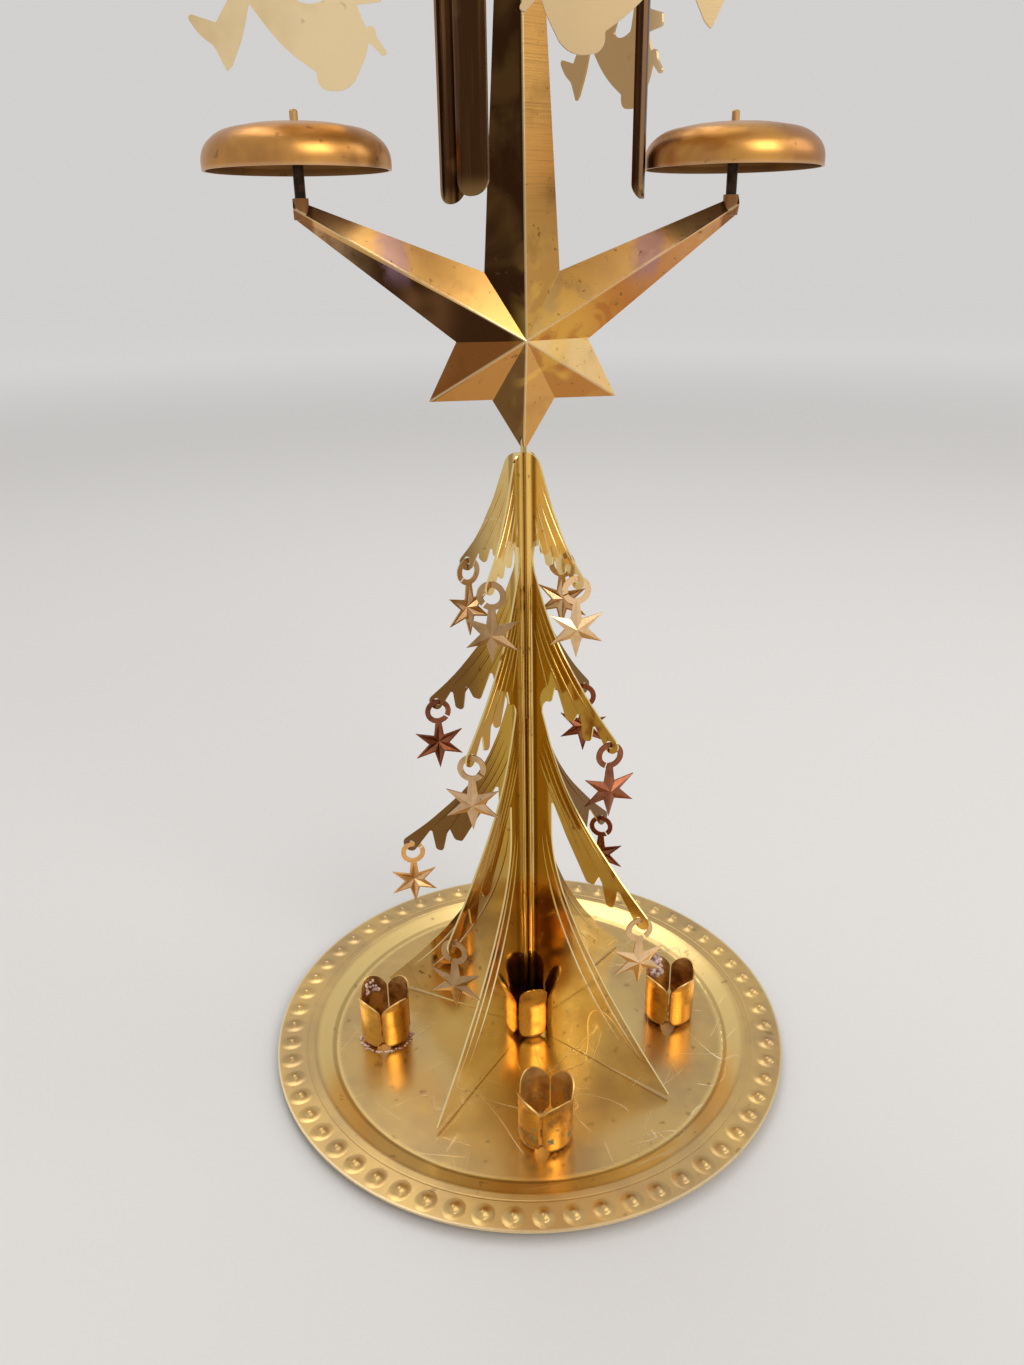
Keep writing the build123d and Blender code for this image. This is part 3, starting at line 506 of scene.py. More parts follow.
def bead_mounds(settings, material):
    """Soft mounds round the flange: one is raised from a disc and copied round the ring."""
    deselect()
    peak, foot = settings.mound_height, settings.mound_radius
    outward_stretch, inset, sunk = 1.12, 0.35 * MM, 0.03 * MM
    bpy.ops.mesh.primitive_circle_add(vertices=28, radius=foot, fill_type="NGON")
    mound = bpy.context.object
    edit_whole()
    bpy.ops.mesh.select_mode(type="FACE")
    before, rise = foot, 0.0
    for share, height in MOUND_RINGS:
        bpy.ops.mesh.inset(thickness=before - foot * share, depth=0.0)
        bpy.ops.transform.translate(value=(0, 0, peak * height - rise))
        before, rise = foot * share, peak * height
    bpy.ops.mesh.poke()
    bpy.ops.object.mode_set(mode="OBJECT")
    mound.data.transform(Matrix.Diagonal((outward_stretch, 1.0, 1.0, 1.0)))
    seat = Matrix.Translation((settings.bead_ring - inset, 0, settings.flange_top - sunk))
    ring = []
    for count in range(settings.bead_count):
        turn = turned_by(360 * count / settings.bead_count)
        ring.append(copy_mesh(mound, "bead", turn @ seat))
    bpy.data.objects.remove(mound)
    return join_pieces(ring, "tray_beads", material)


def cup_finish(settings):
    """Orange gold outside, brown tarnish inside and in the slots, green spots, and a painted
    highlight along the top edges.
    """
    made = Finish("cup_tarnished_brass")
    brown, pink_brown, dull_brown = (0.36, 0.16, 0.045), (0.52, 0.22, 0.09), (0.2, 0.1, 0.04)
    foot_brown, inner_gold = (0.16, 0.08, 0.03), (0.8, 0.5, 0.18)
    left_gold, front_gold, rim_highlight_gold = (1.0, 0.7, 0.26), (0.86, 0.56, 0.18), (0.98, 0.66, 0.24)
    distance = made.radius()
    for cup in CUPS.values():
        centre = middle(cup)
        distance = made.math("MINIMUM", distance, made.radius(centre.x, centre.y))
    flare = made.step(made.z, 12.8 * MM, 17.2 * MM) * 0.75 * MM
    inward = 1 - made.step(distance - flare, 6.7 * MM, 6.95 * MM)
    clouds = made.noise(130.0, detail=4.0, roughness=0.65)
    streaks = made.noise(40.0, at=made.stretched(5.0, 5.0, 1.0))
    low = 1 - made.step(made.z, 1.0 * MM, 3.2 * MM)
    left = 1 - made.step(made.x, -45 * MM, -35 * MM)
    front = 1 - made.step(made.y, -40 * MM, -30 * MM)
    # Painted highlight along the top edges of the cups
    rim_highlights = made.step(made.facing()[2], 0.6, 0.85) * made.step(made.z, 8 * MM, 10 * MM)
    green = made.spots(420.0, 0.6, 0.68) * (1 - made.step(made.z, 6 * MM, 16 * MM))
    green = green * made.step(abs(made.y), 30 * MM, 36 * MM)
    outside = made.layers(
        settings.gold,
        (made.step(clouds, 0.46, 0.72), brown),
        (made.step(streaks, 0.55, 0.75) * 0.5, pink_brown),
        (made.step(made.z, 13 * MM, 17.5 * MM) * 0.25, dull_brown),
        (low * made.step(clouds, 0.35, 0.6) * 0.7, foot_brown),
        (left * 0.55, left_gold),
    )
    inside = made.layers(
        settings.soot, (made.step(clouds, 0.36, 0.58), inner_gold), (front * 0.6, front_gold)
    )
    colour = made.layers(
        outside, (inward, inside), (rim_highlights * 0.7, rim_highlight_gold), (green * 0.8, settings.verdigris)
    )
    roughness = 0.2 + clouds * 0.18 + inward * 0.18 + green * 0.3
    relief = clouds * 0.8 + made.noise(900.0, detail=2.0) * 0.2
    return made.metal(colour, roughness, relief, depth=0.08 * MM, metallic=1 - green * 0.9)


def wax_finish(settings):
    """Old wax, pink with soot and pale grains."""
    made = Finish("old_wax")
    pale_grain, soot = (0.8, 0.68, 0.62), (0.22, 0.1, 0.07)
    grains = made.noise(900.0, roughness=0.7)
    colour = made.layers(
        settings.wax,
        (made.step(grains, 0.4, 0.62), pale_grain),
        (made.spots(260.0, 0.5, 0.66) * 0.75, soot),
    )
    made.shader.inputs["Subsurface Weight"].default_value = 0.15
    made.shader.inputs["Subsurface Scale"].default_value = 0.6 * MM
    return made.metal(colour, 0.45 + grains * 0.25, grains, depth=0.12 * MM, metallic=0.0)


def lump(place, size, seed):
    """A rough lump of old wax: a ball, jittered and smoothed."""
    deselect()
    bpy.ops.mesh.primitive_uv_sphere_add(segments=10, ring_count=6, location=place, scale=size)
    ball = bpy.context.object
    bpy.ops.object.transform_apply(location=False, rotation=False, scale=True)
    edit_whole()
    bpy.ops.transform.vertex_random(offset=min(size) * 0.35, uniform=0.5, normal=0.5, seed=seed)
    bpy.ops.mesh.normals_make_consistent(inside=False)
    bpy.ops.object.mode_set(mode="OBJECT")
    smooth = ball.modifiers.new("smooth", "SUBSURF")
    smooth.levels = 1
    bpy.ops.object.modifier_apply(modifier=smooth.name)
    return ball


def wax_pieces(settings):
    """Wax on one tongue of the left and right cups and round the foot of the left one."""
    material = wax_finish(settings)
    chance = random.Random(settings.wax_seed)
    tongue_radius, flare_start, flare_slope, half_tongue = 6.05, 12.8, 0.13, 21
    pieces = []
    for side, azimuth, low, high, largest, grains in CUP_WAX:
        centre = middle(CUPS[side])
        lumps = []
        for count in range(grains):
            height = chance.uniform(low, high)
            narrowing = 1.15 - (height - low) / (high - low) * 0.4
            turn = azimuth + chance.uniform(-half_tongue, half_tongue) * narrowing
            flare = max(0.0, height - flare_start) * flare_slope
            reach = (tongue_radius + flare + chance.uniform(-0.25, 0.2)) * MM
            place = centre + turned_by(turn) @ Vector((reach, 0, 0))
            place.z = height * MM
            size = chance.uniform(0.4, largest) * MM
            shape = (size, size * chance.uniform(0.7, 1.0), size * chance.uniform(0.8, 1.2))
            lumps.append(lump(place, shape, chance.randrange(1000)))
        pieces.append(join_pieces(lumps, f"wax_{side}_cup", material))
    centre = middle(CUPS["left"])
    first_crumb, crumb_step, crumb_height = 185, 6.6, 0.75 * MM
    crumbs = []
    for count in range(26):
        turn = first_crumb + crumb_step * count + chance.uniform(-3, 3)
        reach = chance.uniform(7.0, 7.75) * MM
        size = chance.uniform(0.22, 0.5) * MM
        place = centre + turned_by(turn) @ Vector((reach, 0, 0))
        place.z = crumb_height
        crumbs.append(lump(place, (size * 1.4, size, size * 0.7), chance.randrange(1000)))
    pieces.append(join_pieces(crumbs, "wax_left_foot", material))
    return pieces


def tree_finish(settings):
    """Yellow lacquered brass, deeper toward the trunk, with faint drawn lines and wear; painted
    shade on the back wings and in the grooves by the trunk, painted highlights along the cut edges
    and the trunk band, and feet paled partly by a painted reflection of the tray.
    """
    made = Finish("tree_lacquered_brass")
    ochre, groove_shade_brown, band_highlight_gold = (0.62, 0.38, 0.08), (0.26, 0.13, 0.022), (0.98, 0.8, 0.42)
    back_shade_brown, spot_brown = (0.16, 0.075, 0.025), (0.2, 0.1, 0.02)
    edge_gold, worn_gold = (0.98, 0.78, 0.36), (0.85, 0.66, 0.34)
    radius = made.radius()
    height_share = made.z / TREE_HIGH
    clouds = made.noise(46.0, detail=4.0, roughness=0.6)
    drawn = made.noise(120.0, at=made.stretched(1.0, 1.0, 0.12))
    # The ramp pales toward the feet: worn brass, and partly a painted reflection of the bright
    # tray
    shades = [
        (0.0, settings.foot), (1.0, settings.brass), (0.2, settings.foot),
        (0.34, settings.middle), (0.72, settings.middle), (0.86, settings.brass),
    ]
    base = made.node("ShaderNodeValToRGB", {"stops": shades}, {0: height_share})
    below_top = 1 - made.step(height_share, 0.74, 0.86)
    root = (1 - made.step(radius, 6 * MM, 16 * MM)) * below_top
    trunk = (1 - made.step(radius, 2 * MM, 12 * MM)) * made.step(drawn, 0.4, 0.62)
    # Painted shade in the grooves beside the trunk band
    outer_groove = made.line(radius - 3.3 * MM, 0.8 * MM)
    inner_groove = made.line(radius - 0.45 * MM, 0.45 * MM)
    # Painted shade on the wings at the back, fading out toward their feet
    shaded = made.step(made.y, 2 * MM, 10 * MM) * made.step(made.z, 12 * MM, 45 * MM)
    spots = made.spots(330.0, 0.68, 0.76)
    # Painted highlight along the cut edges of the wings, weaker on the wings painted into shade
    edge_highlights = (1 - made.step(made.sideways(), 0.25, 0.6)) * made.step(radius, 2.4 * MM, 3.2 * MM)
    path = made.stretched(1.0, 1.0, 0.5, turn=(0.4, 0.2, 0))
    hairs = made.line(made.noise(42.0, detail=0.8, at=path) - 0.5, 0.004)
    worn = made.spots(22.0, 0.52, 0.62, detail=1.0) * hairs
    colour = made.layers(
        base,
        (made.step(clouds, 0.36, 0.7) * 0.4, ochre),
        (root * 0.75, settings.root),
        (trunk * 0.3, settings.deep),
        (outer_groove * 0.55 + inner_groove * 0.5, groove_shade_brown),
        # Painted highlight along the trunk band
        (made.line(radius - 1.7 * MM, 0.95 * MM) * 0.85, band_highlight_gold),
        (shaded * 0.85, back_shade_brown),
        (spots * 0.6, spot_brown),
        (edge_highlights * (0.75 - 0.45 * shaded), edge_gold),
        (worn * 0.6, worn_gold),
    )
    roughness = 0.05 + clouds * 0.08 + worn * 0.15 + spots * 0.2 + shaded * 0.08
    relief = clouds + drawn * 0.25 - worn * 0.4
    return made.metal(colour, roughness, relief)


def rib_path(points):
    """A wire along a curved path on a wing that points along x, thin at both ends."""
    bpy.ops.curve.primitive_nurbs_path_add()
    path = bpy.context.object
    spline = path.data.splines[0]
    spline.points.add(len(points) - len(spline.points))
    spline.order_u = 4
    spline.use_endpoint_u = True
    last = len(points) - 1
    for count, (across, up) in enumerate(points):
        spline.points[count].co = (across * TREE_REACH, 0.0, up * TREE_HIGH, 1.0)
        spline.points[count].radius = 1.0 if 0 < count < last else 0.25
    return path


def flat_ribs(name, lines, width, height, material):
    """Wires along the lines, joined and flattened to a height above the sheet."""
    paths = []
    for points in lines:
        deselect()
        path = rib_path(points)
        path.data.bevel_depth = width / 2
        path.data.bevel_resolution = 3
        path.data.resolution_u = 4
        path.data.use_fill_caps = True
        paths.append(path)
    ribs = join_pieces(paths, name, material)
    bpy.context.view_layer.objects.active = ribs
    edit_whole()
    flatten = (HALF_SHEET + height) / (width / 2)
    bpy.ops.transform.resize(value=(1.0, flatten, 1.0), center_override=(0, 0, 0))
    bpy.ops.object.mode_set(mode="OBJECT")
    return ribs


def wing_ribs(settings, material):
    """The ribs and the band of one wing, copied to every wing."""
    height = settings.rib_height
    ribs = flat_ribs("ribs", WING_RIBS, settings.rib_width, height, material)
    band = flat_ribs("band", (TRUNK_BAND,), settings.band_width, height, material)
    first = join_pieces([ribs, band], "ribs", material)
    copies = [copy_mesh(first, f"ribs_{wing}", turned_by(turn)) for wing, turn in WINGS.items()]
    bpy.data.objects.remove(first)
    return copies


def ramp_place(degrees):
    """Place on a colour ramp of a direction round the middle of the star."""
    return (degrees % 360 + 180) % 360 / 360


def star_finish(settings):
    """Brass folded into facets, tinted partly by heat and tarnish and partly with painted light
    and shade, with painted highlights along the ridges.
    """
    made = Finish("star_heat_tinted_brass")
    brass, copper, patina_and_shade = settings.brass, settings.copper, settings.patina_and_shade
    pale_brass, olive, toast = (1.0, 0.72, 0.34), (0.52, 0.38, 0.16), (0.5, 0.24, 0.05)
    tan, pink_brown, pale_pink = (0.5, 0.28, 0.08), (0.66, 0.32, 0.13), (0.8, 0.5, 0.25)
    tip_brown, flame_gold, spire_shade_brown = (0.24, 0.09, 0.03), (0.98, 0.6, 0.11), (0.16, 0.085, 0.025)
    spot_brown, ridge_highlight_gold, painted_glow_gold = (0.1, 0.05, 0.02), (0.88, 0.66, 0.36), (0.92, 0.48, 0.11)
    up = made.z - STAR_MIDDLE
    along = abs(made.x)
    # Tints of the facets: partly heat tint and tarnish, partly painted light and shade; the facets
    # turned from the light are painted dark and those turned toward it pale
    facets = (
        (180.0, BLACK, patina_and_shade, 0.6),
        (181.2, patina_and_shade, copper, 0.4),
        (211.2, copper, brass, 0.4),
        (241.0, patina_and_shade, brass, 0.15),
        (270.0, brass, copper, 0.3),
        (299.0, copper, brass, 0.25),
        (328.8, brass, pale_brass, 0.7),
        (358.8, copper, brass, 0.05),
        (29.4, brass, olive, 0.4),
        (59.3, brass, toast, 0.55),
        (90.0, BLACK, patina_and_shade, 0.5),
        (120.7, brass, tan, 0.5),
        (150.6, BLACK, patina_and_shade, 0.6),
    )
    stops = [(ramp_place(edge), blend(*shades)) for edge, *shades in facets]
    turn = made.math("ARCTAN2", up, made.x) / math.tau + 0.5
    ramp = {"interpolation": "CONSTANT", "stops": stops}
    base = made.node("ShaderNodeValToRGB", ramp, {0: turn})
    clouds = made.noise(70.0, detail=5.0, roughness=0.62)
    # Heat tints along the arms, from the middle outward
    pink = made.step(along, 12 * MM, 30 * MM) * made.spots(48.0, 0.4, 0.6)
    pink = pink * (1 - made.step(up, 40 * MM, 50 * MM))
    haze = made.line(along - 28 * MM + (clouds - 0.5) * (16 * MM), 4.5 * MM)
    haze = haze * made.step(up, 10 * MM, 16 * MM)
    pale = made.step(along, 30 * MM, 42 * MM) * made.step(clouds, 0.3, 0.55)
    # Golden flames round the middle, painted shade in cloudy blotches on the left of the spire and
    # patches of patina
    reach = (made.x * made.x + up * up) ** 0.5
    flames = made.step(made.noise(90.0, detail=2.0, distortion=1.2), 0.5, 0.62)
    flames = flames * (1 - made.step(reach, 10 * MM, 26 * MM)) * made.step(made.x, -4 * MM, 3 * MM)
    shade = made.step(made.noise(64.0, distortion=0.6), 0.46, 0.66)
    shade = shade * made.step(up, 10 * MM, 20 * MM) * made.step(-1 * made.x, 0.4 * MM, 1.0 * MM)
    shade = shade * (1 - made.step(along, 10 * MM, 12 * MM))
    patches = made.spots(150.0, 0.5, 0.78, detail=3.0)
    # Painted highlights along the ridges of the four rays and the spire
    ridges = []
    for across, high in RAY_TIPS:
        off = (made.x * high - up * across) / math.hypot(across, high)
        ahead = made.step(made.x * across + up * high, 0.0, 1e-5)
        ridges.append(made.line(off, 0.38 * MM) * ahead)
    ridges.append(made.line(made.x, 0.36 * MM))
    lines = sum(ridges[1:], ridges[0])
    # Brushed lines, and painted warm light high on the right side of the spire
    right = made.step(made.x, 0.0, 0.6 * MM)
    spire = made.step(up, 20 * MM, 34 * MM)
    brushed = made.noise(1.0, roughness=0.7, at=made.stretched(30.0, 30.0, 1600.0))
    strokes = made.step(brushed, 0.48, 0.66) * spire * right
    painted_glow = made.step(up, 65 * MM, 100 * MM) * right
    colour = made.layers(
        base,
        (pink * 0.5, pink_brown),
        (haze * 0.6, settings.violet),
        (pale * 0.45, pale_pink),
        (made.step(along, 43.6 * MM, 44.6 * MM) * 0.85, tip_brown),
        (flames * 0.45, flame_gold),
        (shade * 0.45, spire_shade_brown),
        (patches * 0.28, patina_and_shade),
        (made.spots(760.0, 0.67, 0.73) * 0.55, spot_brown),
        (lines * 0.55, ridge_highlight_gold),
        (strokes * 0.4, blend(patina_and_shade, brass, 0.3)),
        (painted_glow * 0.5, painted_glow_gold),
    )
    roughness = 0.21 + clouds * 0.2 + spire * 0.08 - lines * 0.06
    relief = clouds * 0.9 + brushed * spire * 0.35 + patches * 0.2
    return made.metal(colour, roughness, relief, depth=0.1 * MM)


def bell_finish(settings):
    """Satin golden brown bronze with a brighter rim, and painted shade darkening the inside and
    the underside.
    """
    made = Finish("bell_satin_bronze")
    brown, crown_gold, spot_brown = (0.44, 0.2, 0.07), (0.68, 0.42, 0.2), (0.16, 0.08, 0.03)
    centres = [middle(box) for box in BELLS.values()]
    radius = made.math("MINIMUM", *[made.radius(centre.x, centre.y) for centre in centres])
    rise = (made.z - BELL_LOW) / (BELL_HIGH - BELL_LOW)
    clouds = made.noise(60.0, detail=4.0, roughness=0.55)
    rings = made.turning_rings(radius)
    # Painted shade: surfaces facing down and the inside of the bells are darkened
    under = (1 - made.step(made.facing()[2], -0.3, -0.05)) * made.step(rise, 0.02, 0.06)
    shell = 1 - made.step(radius, 18.45 * MM, 18.75 * MM)
    vault = (1 - (radius / BELL_RADIUS) ** 2.6) * 0.55
    below = 1 - made.step(rise - vault - 0.36, 0.0, 0.05)
    inside = made.math("MAXIMUM", under, shell * below)
    colour = made.layers(
        settings.bronze,
        (made.step(clouds, 0.36, 0.68), brown),
        (made.step(rise, 0.72, 1.0) * 0.35, crown_gold),
        ((1 - made.step(rise, 0.02, 0.1)) * 0.5, settings.rim),
        (inside, settings.inside),
        (made.spots(420.0, 0.67, 0.74) * 0.5, spot_brown),
    )
    roughness = 0.24 + clouds * 0.12 + rings * 0.06 + inside * 0.1
    relief = rings * 0.35 + clouds * 0.6
    return made.metal(colour, roughness, relief, depth=0.04 * MM)


def bell_lip(side, settings, material):
    """Rolled lip round the rim of a bell: a ring pressed a little flat."""
    centre = middle(BELLS[side])
    half = settings.lip / 2
    flatten = 0.85
    deselect()
    bpy.ops.mesh.primitive_torus_add(
        major_segments=96, minor_segments=10, major_radius=BELL_RADIUS - half,
        minor_radius=half, location=(centre.x, centre.y, BELL_LOW + half),
    )
    edit_whole()
    bpy.ops.transform.resize(value=(1.0, 1.0, flatten))
    bpy.ops.object.mode_set(mode="OBJECT")
    return join_pieces([bpy.context.object], f"bell_lip_{side}", material)


def post_finish():
    """Blackened posts whose pins are rubbed to brass."""
    made = Finish("post_blackened")
    black, brown = (0.03, 0.02, 0.015), (0.085, 0.045, 0.022)
    foot_brown, pin_gold = (0.26, 0.13, 0.05), (0.62, 0.38, 0.16)
    clouds = made.noise(240.0, detail=4.0, roughness=0.6)
    foot = 1 - made.step(made.z, BELL_LOW - 6.5 * MM, BELL_LOW - 4.8 * MM)
    pin = made.step(made.z, BELL_HIGH - 0.5 * MM, BELL_HIGH + 0.2 * MM)
    colour = made.layers(
        black, (made.step(clouds, 0.45, 0.65), brown), (foot * 0.6, foot_brown), (pin, pin_gold)
    )
    return made.metal(colour, 0.28 + clouds * 0.2, clouds, metallic=0.9)


def sheet_finish(name, colour, tarnish, roughness, grain_turn=0.0, scale=60.0):
    """Satin sheet brass with drawn grain, cloudy tarnish and a few spots."""
    made = Finish(name)
    clouds = made.noise(scale, detail=4.0, roughness=0.6)
    drawn = made.stretched(1500.0, 60.0, 300.0, turn=(0, 0, grain_turn))
    grain = made.noise(1.0, roughness=0.7, at=drawn)
    shade = made.layers(
        colour,
        (made.step(clouds, 0.4, 0.7), tarnish),
        (made.spots(scale * 7, 0.66, 0.74) * 0.5, darker(tarnish, 0.35)),
    )
    roughness = roughness + clouds * 0.14 + grain * 0.05
    return made.metal(shade, roughness, clouds * 0.7 + grain * 0.3)


def turned_finish(name, colour, roughness=0.22):
    """Turned metal with fine rings round its axis."""
    made = Finish(name)
    rings = made.turning_rings(made.radius())
    worn = made.spots(160.0, 0.42, 0.7, detail=3.0)
    shade = made.layers(colour, (worn, darker(colour, 0.6)))
    return made.metal(shade, roughness + rings * 0.12, rings, depth=0.03 * MM)


def striker_finish(settings):
    """Dark glossy bronze with long streaks drawn down the strip, painted highlights along the
    edges and a painted golden reflection at the foot.
    """
    made = Finish("striker_dark_bronze")
    streak_brown, edge_gold = (0.13, 0.058, 0.022), (0.46, 0.25, 0.12)
    foot_reflection_gold, patch_gold = (0.45, 0.26, 0.09), (0.34, 0.19, 0.07)
    streaks = made.noise(1.0, roughness=0.6, at=made.stretched(700.0, 700.0, 16.0))
    clouds = made.noise(80.0)
    # Painted golden reflection on the lower end of the strip
    foot = 1 - made.step(made.z, 221.8 * MM, 226 * MM)
    colour = made.layers(
        settings.bronze,
        (made.step(streaks, 0.45, 0.7), streak_brown),
        # Painted highlight along the edges of the strip
        (made.step(made.sideways(), 0.8, 0.95) * 0.6, edge_gold),
        (foot * 0.45, foot_reflection_gold),
        (made.step(clouds, 0.58, 0.72) * 0.35, patch_gold),
    )
    roughness = 0.15 + clouds * 0.12 + streaks * 0.05
    return made.metal(colour, roughness, streaks, depth=0.03 * MM)


def angel_finish(settings):
    """Matte pale gold with cloudy ochre tarnish; the angel at the back is painted into shade with
    that ochre, the one at the front a little.
    """
    made = Finish("angel_pale_gold")
    spot_brown = (0.3, 0.17, 0.07)
    clouds = made.noise(34.0, detail=4.0, roughness=0.6)
    grain = made.noise(1.0, roughness=0.7, at=made.stretched(200.0, 200.0, 1400.0))
    cloudy = made.step(clouds, 0.42, 0.72) * 0.45
    # Painted shade: the angel at the back darkened much, the one at the front a little
    back = made.step(made.y, 12 * MM, 30 * MM) * 0.85
    front = made.step(-1 * made.y, 25 * MM, 35 * MM) * 0.42
    tarnish_and_shade = made.math("MAXIMUM", made.math("MAXIMUM", cloudy, back), front)
    spots = made.spots(300.0, 0.69, 0.76) * 0.45
    colour = made.layers(settings.angel, (tarnish_and_shade, settings.ochre), (spots, spot_brown))
    roughness = 0.26 + clouds * 0.14 + grain * 0.05
    return made.metal(colour, roughness, clouds * 0.7 + grain * 0.3, depth=0.04 * MM)


def area_lamp(name, place, target, size, power, colour):
    """A soft square lamp that points at a target."""
    data = bpy.data.lights.new(name, "AREA")
    data.shape = "SQUARE"
    data.size = size
    data.energy = power
    data.color = colour
    lamp = bpy.data.objects.new(name, data)
    lamp.location = place
    lamp.rotation_mode = "QUATERNION"
    lamp.rotation_quaternion = (Vector(target) - Vector(place)).to_track_quat("-Z", "Y")
    bpy.context.scene.collection.objects.link(lamp)


def camera(settings):
    """The camera at the photograph's viewing angle."""
    data = bpy.data.cameras.new("camera")
    data.sensor_width = 36.0
    data.lens = settings.lens
    data.clip_start = 0.01
    data.clip_end = 50.0
    made = bpy.data.objects.new("camera", data)
    tilt = Matrix.Rotation(math.pi / 2 + math.radians(CAMERA_TILT), 4, "X")
    turned = turned_by(CAMERA_HEADING) @ tilt @ turned_by(CAMERA_ROLL)
    made.matrix_world = Matrix.Translation(Vector(CAMERA_PLACE) * MM) @ turned
    bpy.context.scene.collection.objects.link(made)
    bpy.context.scene.camera = made


def world_light(settings):
    """Plain pale surroundings: one level where they are seen or mirrored, one for light."""
    world = bpy.data.worlds.new("studio")
    world.use_nodes = True
    tree = world.node_tree
    tree.nodes.clear()
    rays = tree.nodes.new("ShaderNodeLightPath")
    total = rays.outputs["Is Camera Ray"]
    for name in ("Is Glossy Ray", "Is Transmission Ray"):
        both = tree.nodes.new("ShaderNodeMath")
        both.operation = "ADD"
        both.use_clamp = True
        tree.links.new(total, both.inputs[0])
        tree.links.new(rays.outputs[name], both.inputs[1])
        total = both.outputs[0]
    shades = tree.nodes.new("ShaderNodeMixShader")
    tree.links.new(total, shades.inputs["Fac"])
    for place, level in ((1, settings.soft_light), (2, settings.sky)):
        back = tree.nodes.new("ShaderNodeBackground")
        back.inputs["Color"].default_value = (*level, 1.0)
        tree.links.new(back.outputs["Background"], shades.inputs[place])
    end = tree.nodes.new("ShaderNodeOutputWorld")
    tree.links.new(shades.outputs[0], end.inputs["Surface"])
    bpy.context.scene.world = world


def floor_finish(settings):
    """Pale matte floor that grows lighter far from the object."""
    made = Finish("pale_floor")
    fade_start, fade_end = 0.9, 2.2
    fine = made.noise(700.0)
    far = made.step(made.radius(), fade_start, fade_end)
    grey = darker(settings.floor, 0.93)
    shade = made.layers(settings.floor, (fine * 0.35, grey), (far, settings.backdrop))
    return made.metal(shade, 0.75, fine, metallic=0.0)


class DressTray(bpy.types.Operator):
    """Give the tray and the rivets their worn brass and raise the beads."""

    bl_idname = "angel_chime.dress_tray"
    bl_label = "Tray"

    def execute(self, context):
        settings = context.scene.angel_chime.tray
        material = tray_finish(settings)
        dress(material, "tray")
        beads = bead_mounds(settings, material)
        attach(beads, "base")
        dull_brass = (0.42, 0.27, 0.11)
        dress(turned_finish("rivet_dull_brass", dull_brass, roughness=0.35), "rivets")
        return {"FINISHED"}


class DressCups(bpy.types.Operator):
    """Give the candle cups and the centre clip their tarnish, and add the old wax."""

    bl_idname = "angel_chime.dress_cups"
    bl_label = "Candle cups"

    def execute(self, context):
        settings = context.scene.angel_chime.cups
        dress(cup_finish(settings), *named("candle_holder_"), "centre_clip")
        for piece in wax_pieces(settings):
            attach(piece, "base")
        return {"FINISHED"}


class DressTree(bpy.types.Operator):
    """Give the tree its lacquered brass and press the ribs into its wings."""

    bl_idname = "angel_chime.dress_tree"
    bl_label = "Tree"

    def execute(self, context):
        settings = context.scene.angel_chime.tree
        material = tree_finish(settings)
        dress(material, *named("tree_panel_"))
        for ribs in wing_ribs(settings, material):
            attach(ribs, "base")
        return {"FINISHED"}


class DressStar(bpy.types.Operator):
    """Give the folded star its tarnish."""

    bl_idname = "angel_chime.dress_star"
    bl_label = "Star"

    def execute(self, context):
        settings = context.scene.angel_chime.star
        dress(star_finish(settings), "star_front_shell", "star_back_shell")
        return {"FINISHED"}


class DressBells(bpy.types.Operator):
    """Give the bells their bronze and rolled lips, and blacken the posts."""

    bl_idname = "angel_chime.dress_bells"
    bl_label = "Bells and posts"

    def execute(self, context):
        settings = context.scene.angel_chime.bells
        material = bell_finish(settings)
        for side in BELLS:
            dress(material, f"bell_{side}")
            lip = bell_lip(side, settings, material)
            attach(lip, f"bell_{side}")
        dress(post_finish(), *named("bell_post_"))
        return {"FINISHED"}


class DressRotor(bpy.types.Operator):
    """Give the needle, bearing, hanger, fan and jump rings their finishes."""

    bl_idname = "angel_chime.dress_rotor"
    bl_label = "Fan and hanger"

    def execute(self, context):
        settings = context.scene.angel_chime.rotor
        tarnish, steel = (0.44, 0.28, 0.1), (0.55, 0.55, 0.56)
        wire, wire_tarnish = (0.52, 0.35, 0.14), (0.3, 0.18, 0.07)
        fan = sheet_finish("fan_satin_brass", settings.brass, tarnish, 0.22)
        hanger = sheet_finish("hanger_satin_brass", settings.brass, tarnish, 0.24, grain_turn=0.7)
        rings = sheet_finish("wire_drawn_brass", wire, wire_tarnish, 0.26, scale=300.0)
        turned = turned_finish("turned_brass", settings.turned)
        dress(fan, "fan")
        dress(hanger, "hanger")
        dress(rings, "jump_rings")
        dress(turned, "bearing_cap", "fan_spacer", "fan_collar")
        dress(turned_finish("needle_ground_steel", steel, roughness=0.18), "needle")
        return {"FINISHED"}


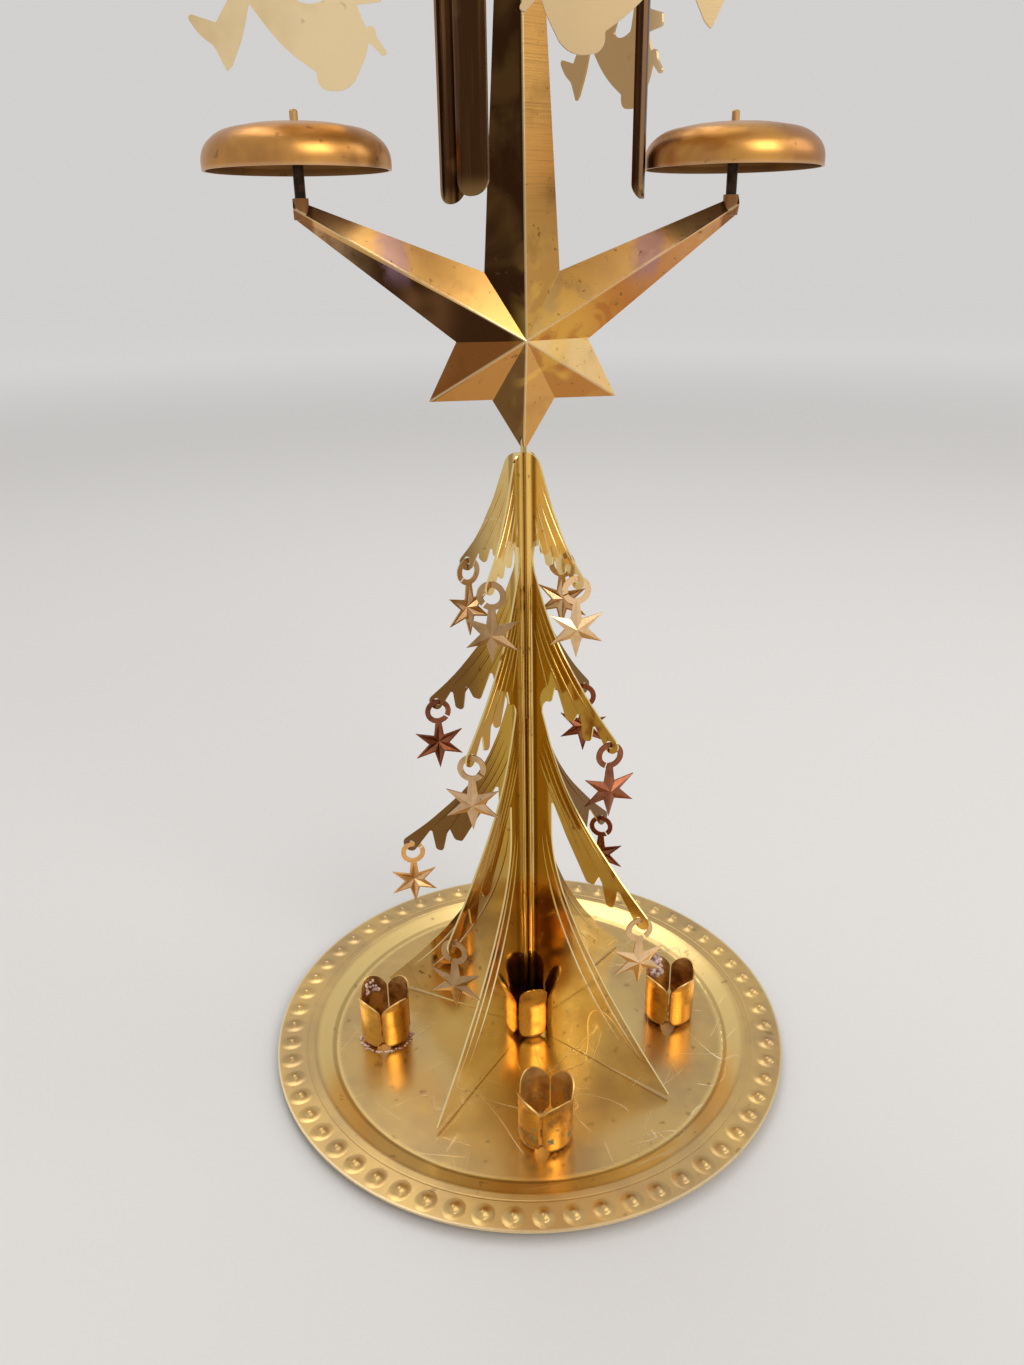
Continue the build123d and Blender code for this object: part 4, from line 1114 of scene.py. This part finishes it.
class DressHangings(bpy.types.Operator):
    """Give the star pendants, strikers and angels their finishes."""

    bl_idname = "angel_chime.dress_hangings"
    bl_label = "Pendants, strikers and angels"

    def execute(self, context):
        settings = context.scene.angel_chime.hanging
        # The bright and dull pendants are lit and shaded copies of the pale gold: painted light
        # and painted shade
        kinds = (
            ("pendant_pale_gold", settings.pale, (0.48, 0.29, 0.13), 0.2, ()),
            ("pendant_lit_gold", settings.bright, (0.7, 0.44, 0.21), 0.2, LIT_PENDANTS),
            ("pendant_shaded_gold", settings.dull, (0.33, 0.19, 0.08), 0.2, SHADED_PENDANTS),
            ("pendant_copper_brown", settings.copper, (0.17, 0.06, 0.03), 0.18, COPPER_PENDANTS),
        )
        for kind, colour, tarnish, roughness, places in kinds:
            finish = sheet_finish(kind, colour, tarnish, roughness, scale=130.0)
            single = [f"star_pendant_{place}" for place in places]
            dress(finish, *(single or named("star_pendant_")))
        dress(striker_finish(settings), *named("striker_"))
        dress(angel_finish(settings), *named("angel_"))
        return {"FINISHED"}


class SetStage(bpy.types.Operator):
    """Lay the pale floor, hang the lamps and set the camera."""

    bl_idname = "angel_chime.set_stage"
    bl_label = "Stage"

    def execute(self, context):
        settings = context.scene.angel_chime.stage
        floor_radius = 4.0
        deselect()
        bpy.ops.mesh.primitive_circle_add(vertices=96, radius=floor_radius, fill_type="NGON")
        floor = context.object
        floor.name = "floor"
        floor.data.materials.append(floor_finish(settings))
        world_light(settings)
        for name, (place, target, size, share, colour) in LAMPS.items():
            area_lamp(name, place, target, size, settings.key_power * share, colour)
        camera(settings)
        context.scene.view_settings.view_transform = "Standard"
        return {"FINISHED"}


class ChimePanel(bpy.types.Panel):
    bl_idname = "VIEW3D_PT_angel_chime"
    bl_label = "Angel chime"
    bl_space_type = "VIEW_3D"
    bl_region_type = "UI"
    bl_category = "Angel chime"

    def draw(self, context):
        for operator in OPERATORS:
            self.layout.operator(operator.bl_idname)


GROUPS = (
    TraySettings, CupSettings, TreeSettings, StarSettings, BellSettings,
    RotorSettings, HangingSettings, StageSettings, ChimeSettings,
)
OPERATORS = (
    DressTray, DressCups, DressTree, DressStar,
    DressBells, DressRotor, DressHangings, SetStage,
)
CLASSES = (*GROUPS, *OPERATORS, ChimePanel)


def register():
    for item in CLASSES:
        bpy.utils.register_class(item)
    bpy.types.Scene.angel_chime = PointerProperty(type=ChimeSettings)


def unregister():
    del bpy.types.Scene.angel_chime
    for item in reversed(CLASSES):
        bpy.utils.unregister_class(item)


def main():
    register()
    bpy.ops.angel_chime.dress_tray()
    bpy.ops.angel_chime.dress_cups()
    bpy.ops.angel_chime.dress_tree()
    bpy.ops.angel_chime.dress_star()
    bpy.ops.angel_chime.dress_bells()
    bpy.ops.angel_chime.dress_rotor()
    bpy.ops.angel_chime.dress_hangings()
    bpy.ops.angel_chime.set_stage()


if __name__ == "__main__":
    main()
